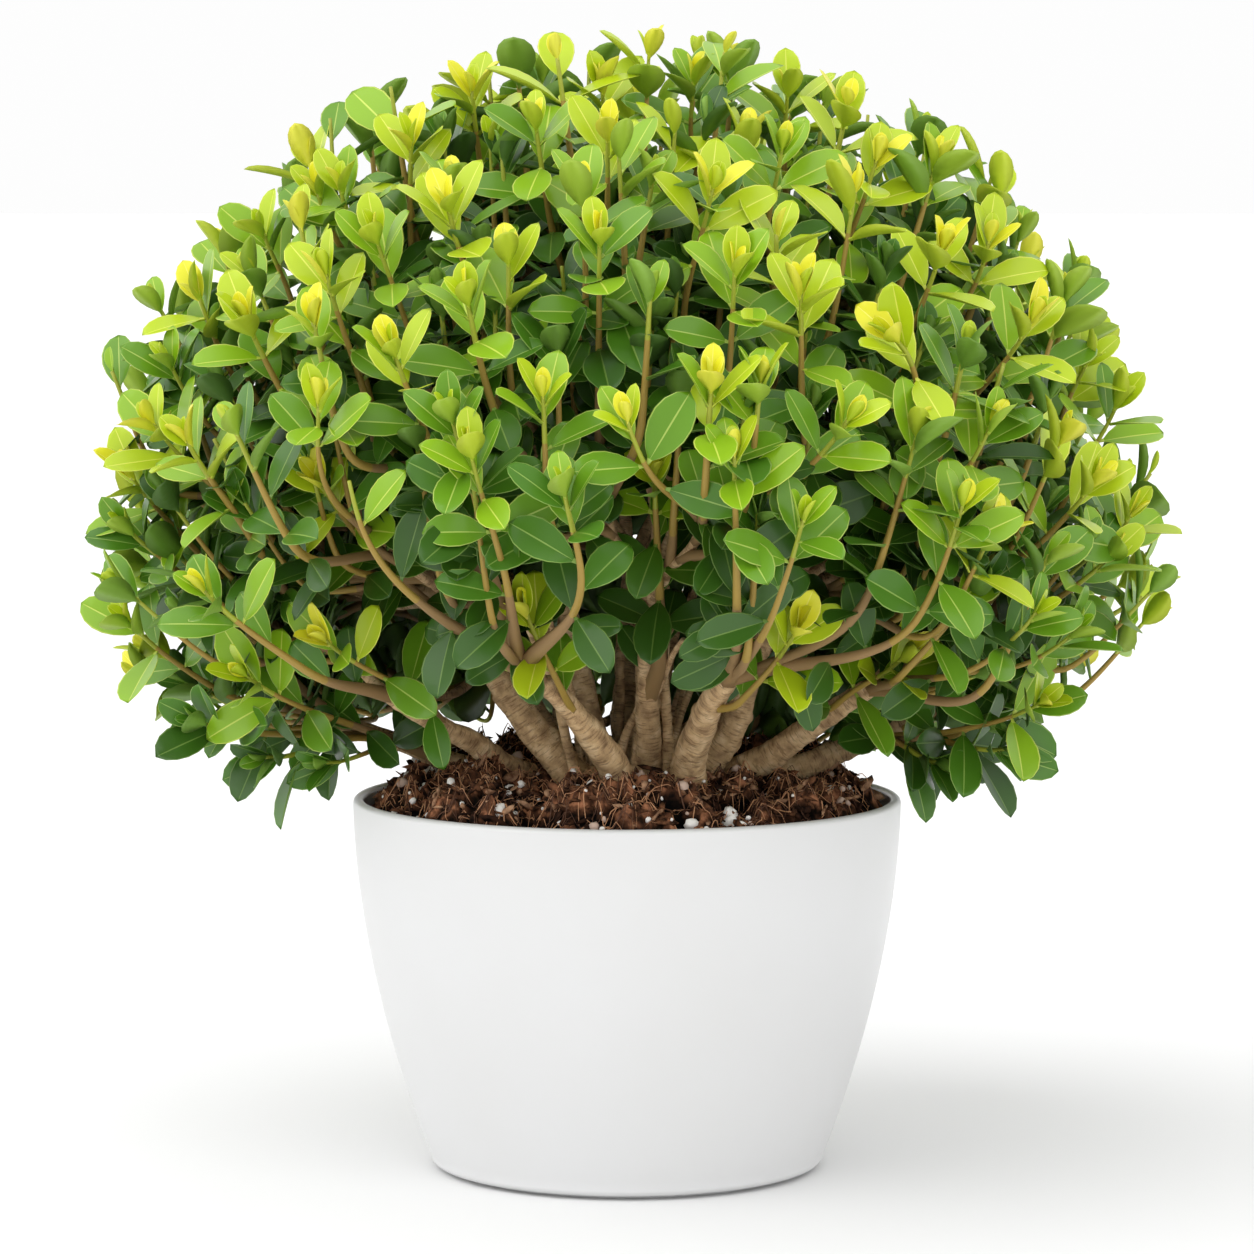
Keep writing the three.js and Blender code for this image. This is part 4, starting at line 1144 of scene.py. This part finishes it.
for m, stem in enumerate(stems):
    of_bough = bough_mass == m
    if of_bough.any():
        made = piece(
            "boughs_" + stem["label"],
            *skins(bough_rings[of_bough], bough_paths[of_bough, 0], bough_paths[of_bough, -1]),
            [stem_bark],
        )
        carry_grain(made, bough_straight[of_bough])
        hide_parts("foliage_" + stem["label"])
    of_shoot = (shoot_mass == m) & lives
    wood = np.repeat(wood_age[of_shoot][:, :, None], 6, 2).reshape(of_shoot.sum(), -1)
    caps = np.concatenate([np.full((len(wood), 6), 2), np.zeros((len(wood), 6), int)], 1)
    made = piece(
        "twigs_" + stem["label"],
        *skins(shoot_rings[of_shoot], shoot_paths[of_shoot, 0], shoot_paths[of_shoot, -1]),
        twig_looks,
        np.concatenate([wood, wood, caps], 1).ravel(),
    )
    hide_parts("foliage_" + stem["label"])
    mine = mass == m
    made = piece(
        "leaves_" + stem["label"],
        *leaf_skins(*(a[mine] for a in (root, way, face, length, bend, fold, width))),
        leaf_looks,
        (age[mine][:, None] * 3 + leaf_part[None]).ravel(),
    )
    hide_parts("foliage_" + stem["label"])

# ---------- The studio ----------
# A white floor under a white sky, with a large soft light high on the left, a weaker one on the right and a
# faint one behind, and a long lens that looks slightly down on the plant.

LOOK_AT = Vector((0, 0, 197.7)) * MM
CAMERA_DISTANCE = 1.815
CAMERA_ELEVATION = 5.07

floor_look = material("studio_floor", (0.765, 0.765, 0.765, 1), 1.0, Specular_IOR_Level=0.0)
bpy.ops.mesh.primitive_plane_add(size=120, location=(0, 0, 0))
floor = bpy.context.object
floor.name = "studio_floor"
floor.data.materials.append(floor_look)

# The sky is white along the whole horizon and behind the plant, greyer overhead, and brightest on the left.
world = bpy.data.worlds.new("studio_walls")
world.use_nodes = True
around = node(world, "ShaderNodeTexCoord").outputs["Generated"]
axes = node(world, "ShaderNodeSeparateXYZ", {"Vector": around}).outputs


def wall(axis, start, end, grey, bright):
    """How bright the sky is along an axis: from grey at its start to bright at its end."""
    ends = {"Value": axes[axis], "From Min": start, "From Max": end, "To Min": grey, "To Max": bright}
    return node(world, "ShaderNodeMapRange", ends).outputs["Result"]


behind = wall("Y", 0.1, 0.9, 0.58, 0.985)
on_left = wall("X", -0.2, -0.95, 0.0, 1.05)
on_right = wall("X", 0.2, 0.95, 0.0, 0.4)
horizon = wall("Z", 0.06, 0.3, 0.985, 0.0)
sides = node(world, "ShaderNodeMath", {0: on_left, 1: on_right}, operation="ADD").outputs[0]
upper = node(world, "ShaderNodeMath", {0: behind, 1: sides}, operation="ADD").outputs[0]
whole = node(world, "ShaderNodeMath", {0: upper, 1: horizon}, operation="MAXIMUM").outputs[0]
world.node_tree.links.new(whole, world.node_tree.nodes["Background"].inputs["Color"])
bpy.context.scene.world = world


def wide_light(name, azimuth, elevation, width, strength):
    """A distant light from an azimuth and an elevation, as wide as an angle in degrees."""
    lamp = bpy.data.lights.new(name, "SUN")
    lamp.angle = np.radians(width)
    lamp.energy = strength
    holder = bpy.data.objects.new(name, lamp)
    holder.rotation_euler = Vector(direction(azimuth, elevation)).to_track_quat("Z", "Y").to_euler()
    bpy.context.scene.collection.objects.link(holder)


wide_light("key_light", 223, 56, 70, 1.62)
wide_light("fill_light", 300, 26, 60, 0.92)
wide_light("back_light", 50, 55, 60, 0.35)

lens = bpy.data.cameras.new("camera")
lens.lens = 143
lens.sensor_width = 36
camera = bpy.data.objects.new("camera", lens)
tilt = np.radians(CAMERA_ELEVATION)
camera.location = LOOK_AT + Vector((0, -np.cos(tilt), np.sin(tilt))) * CAMERA_DISTANCE
camera.rotation_euler = (LOOK_AT - camera.location).to_track_quat("-Z", "Y").to_euler()
bpy.context.scene.collection.objects.link(camera)
bpy.context.scene.camera = camera
bpy.context.scene.view_settings.view_transform = "Standard"
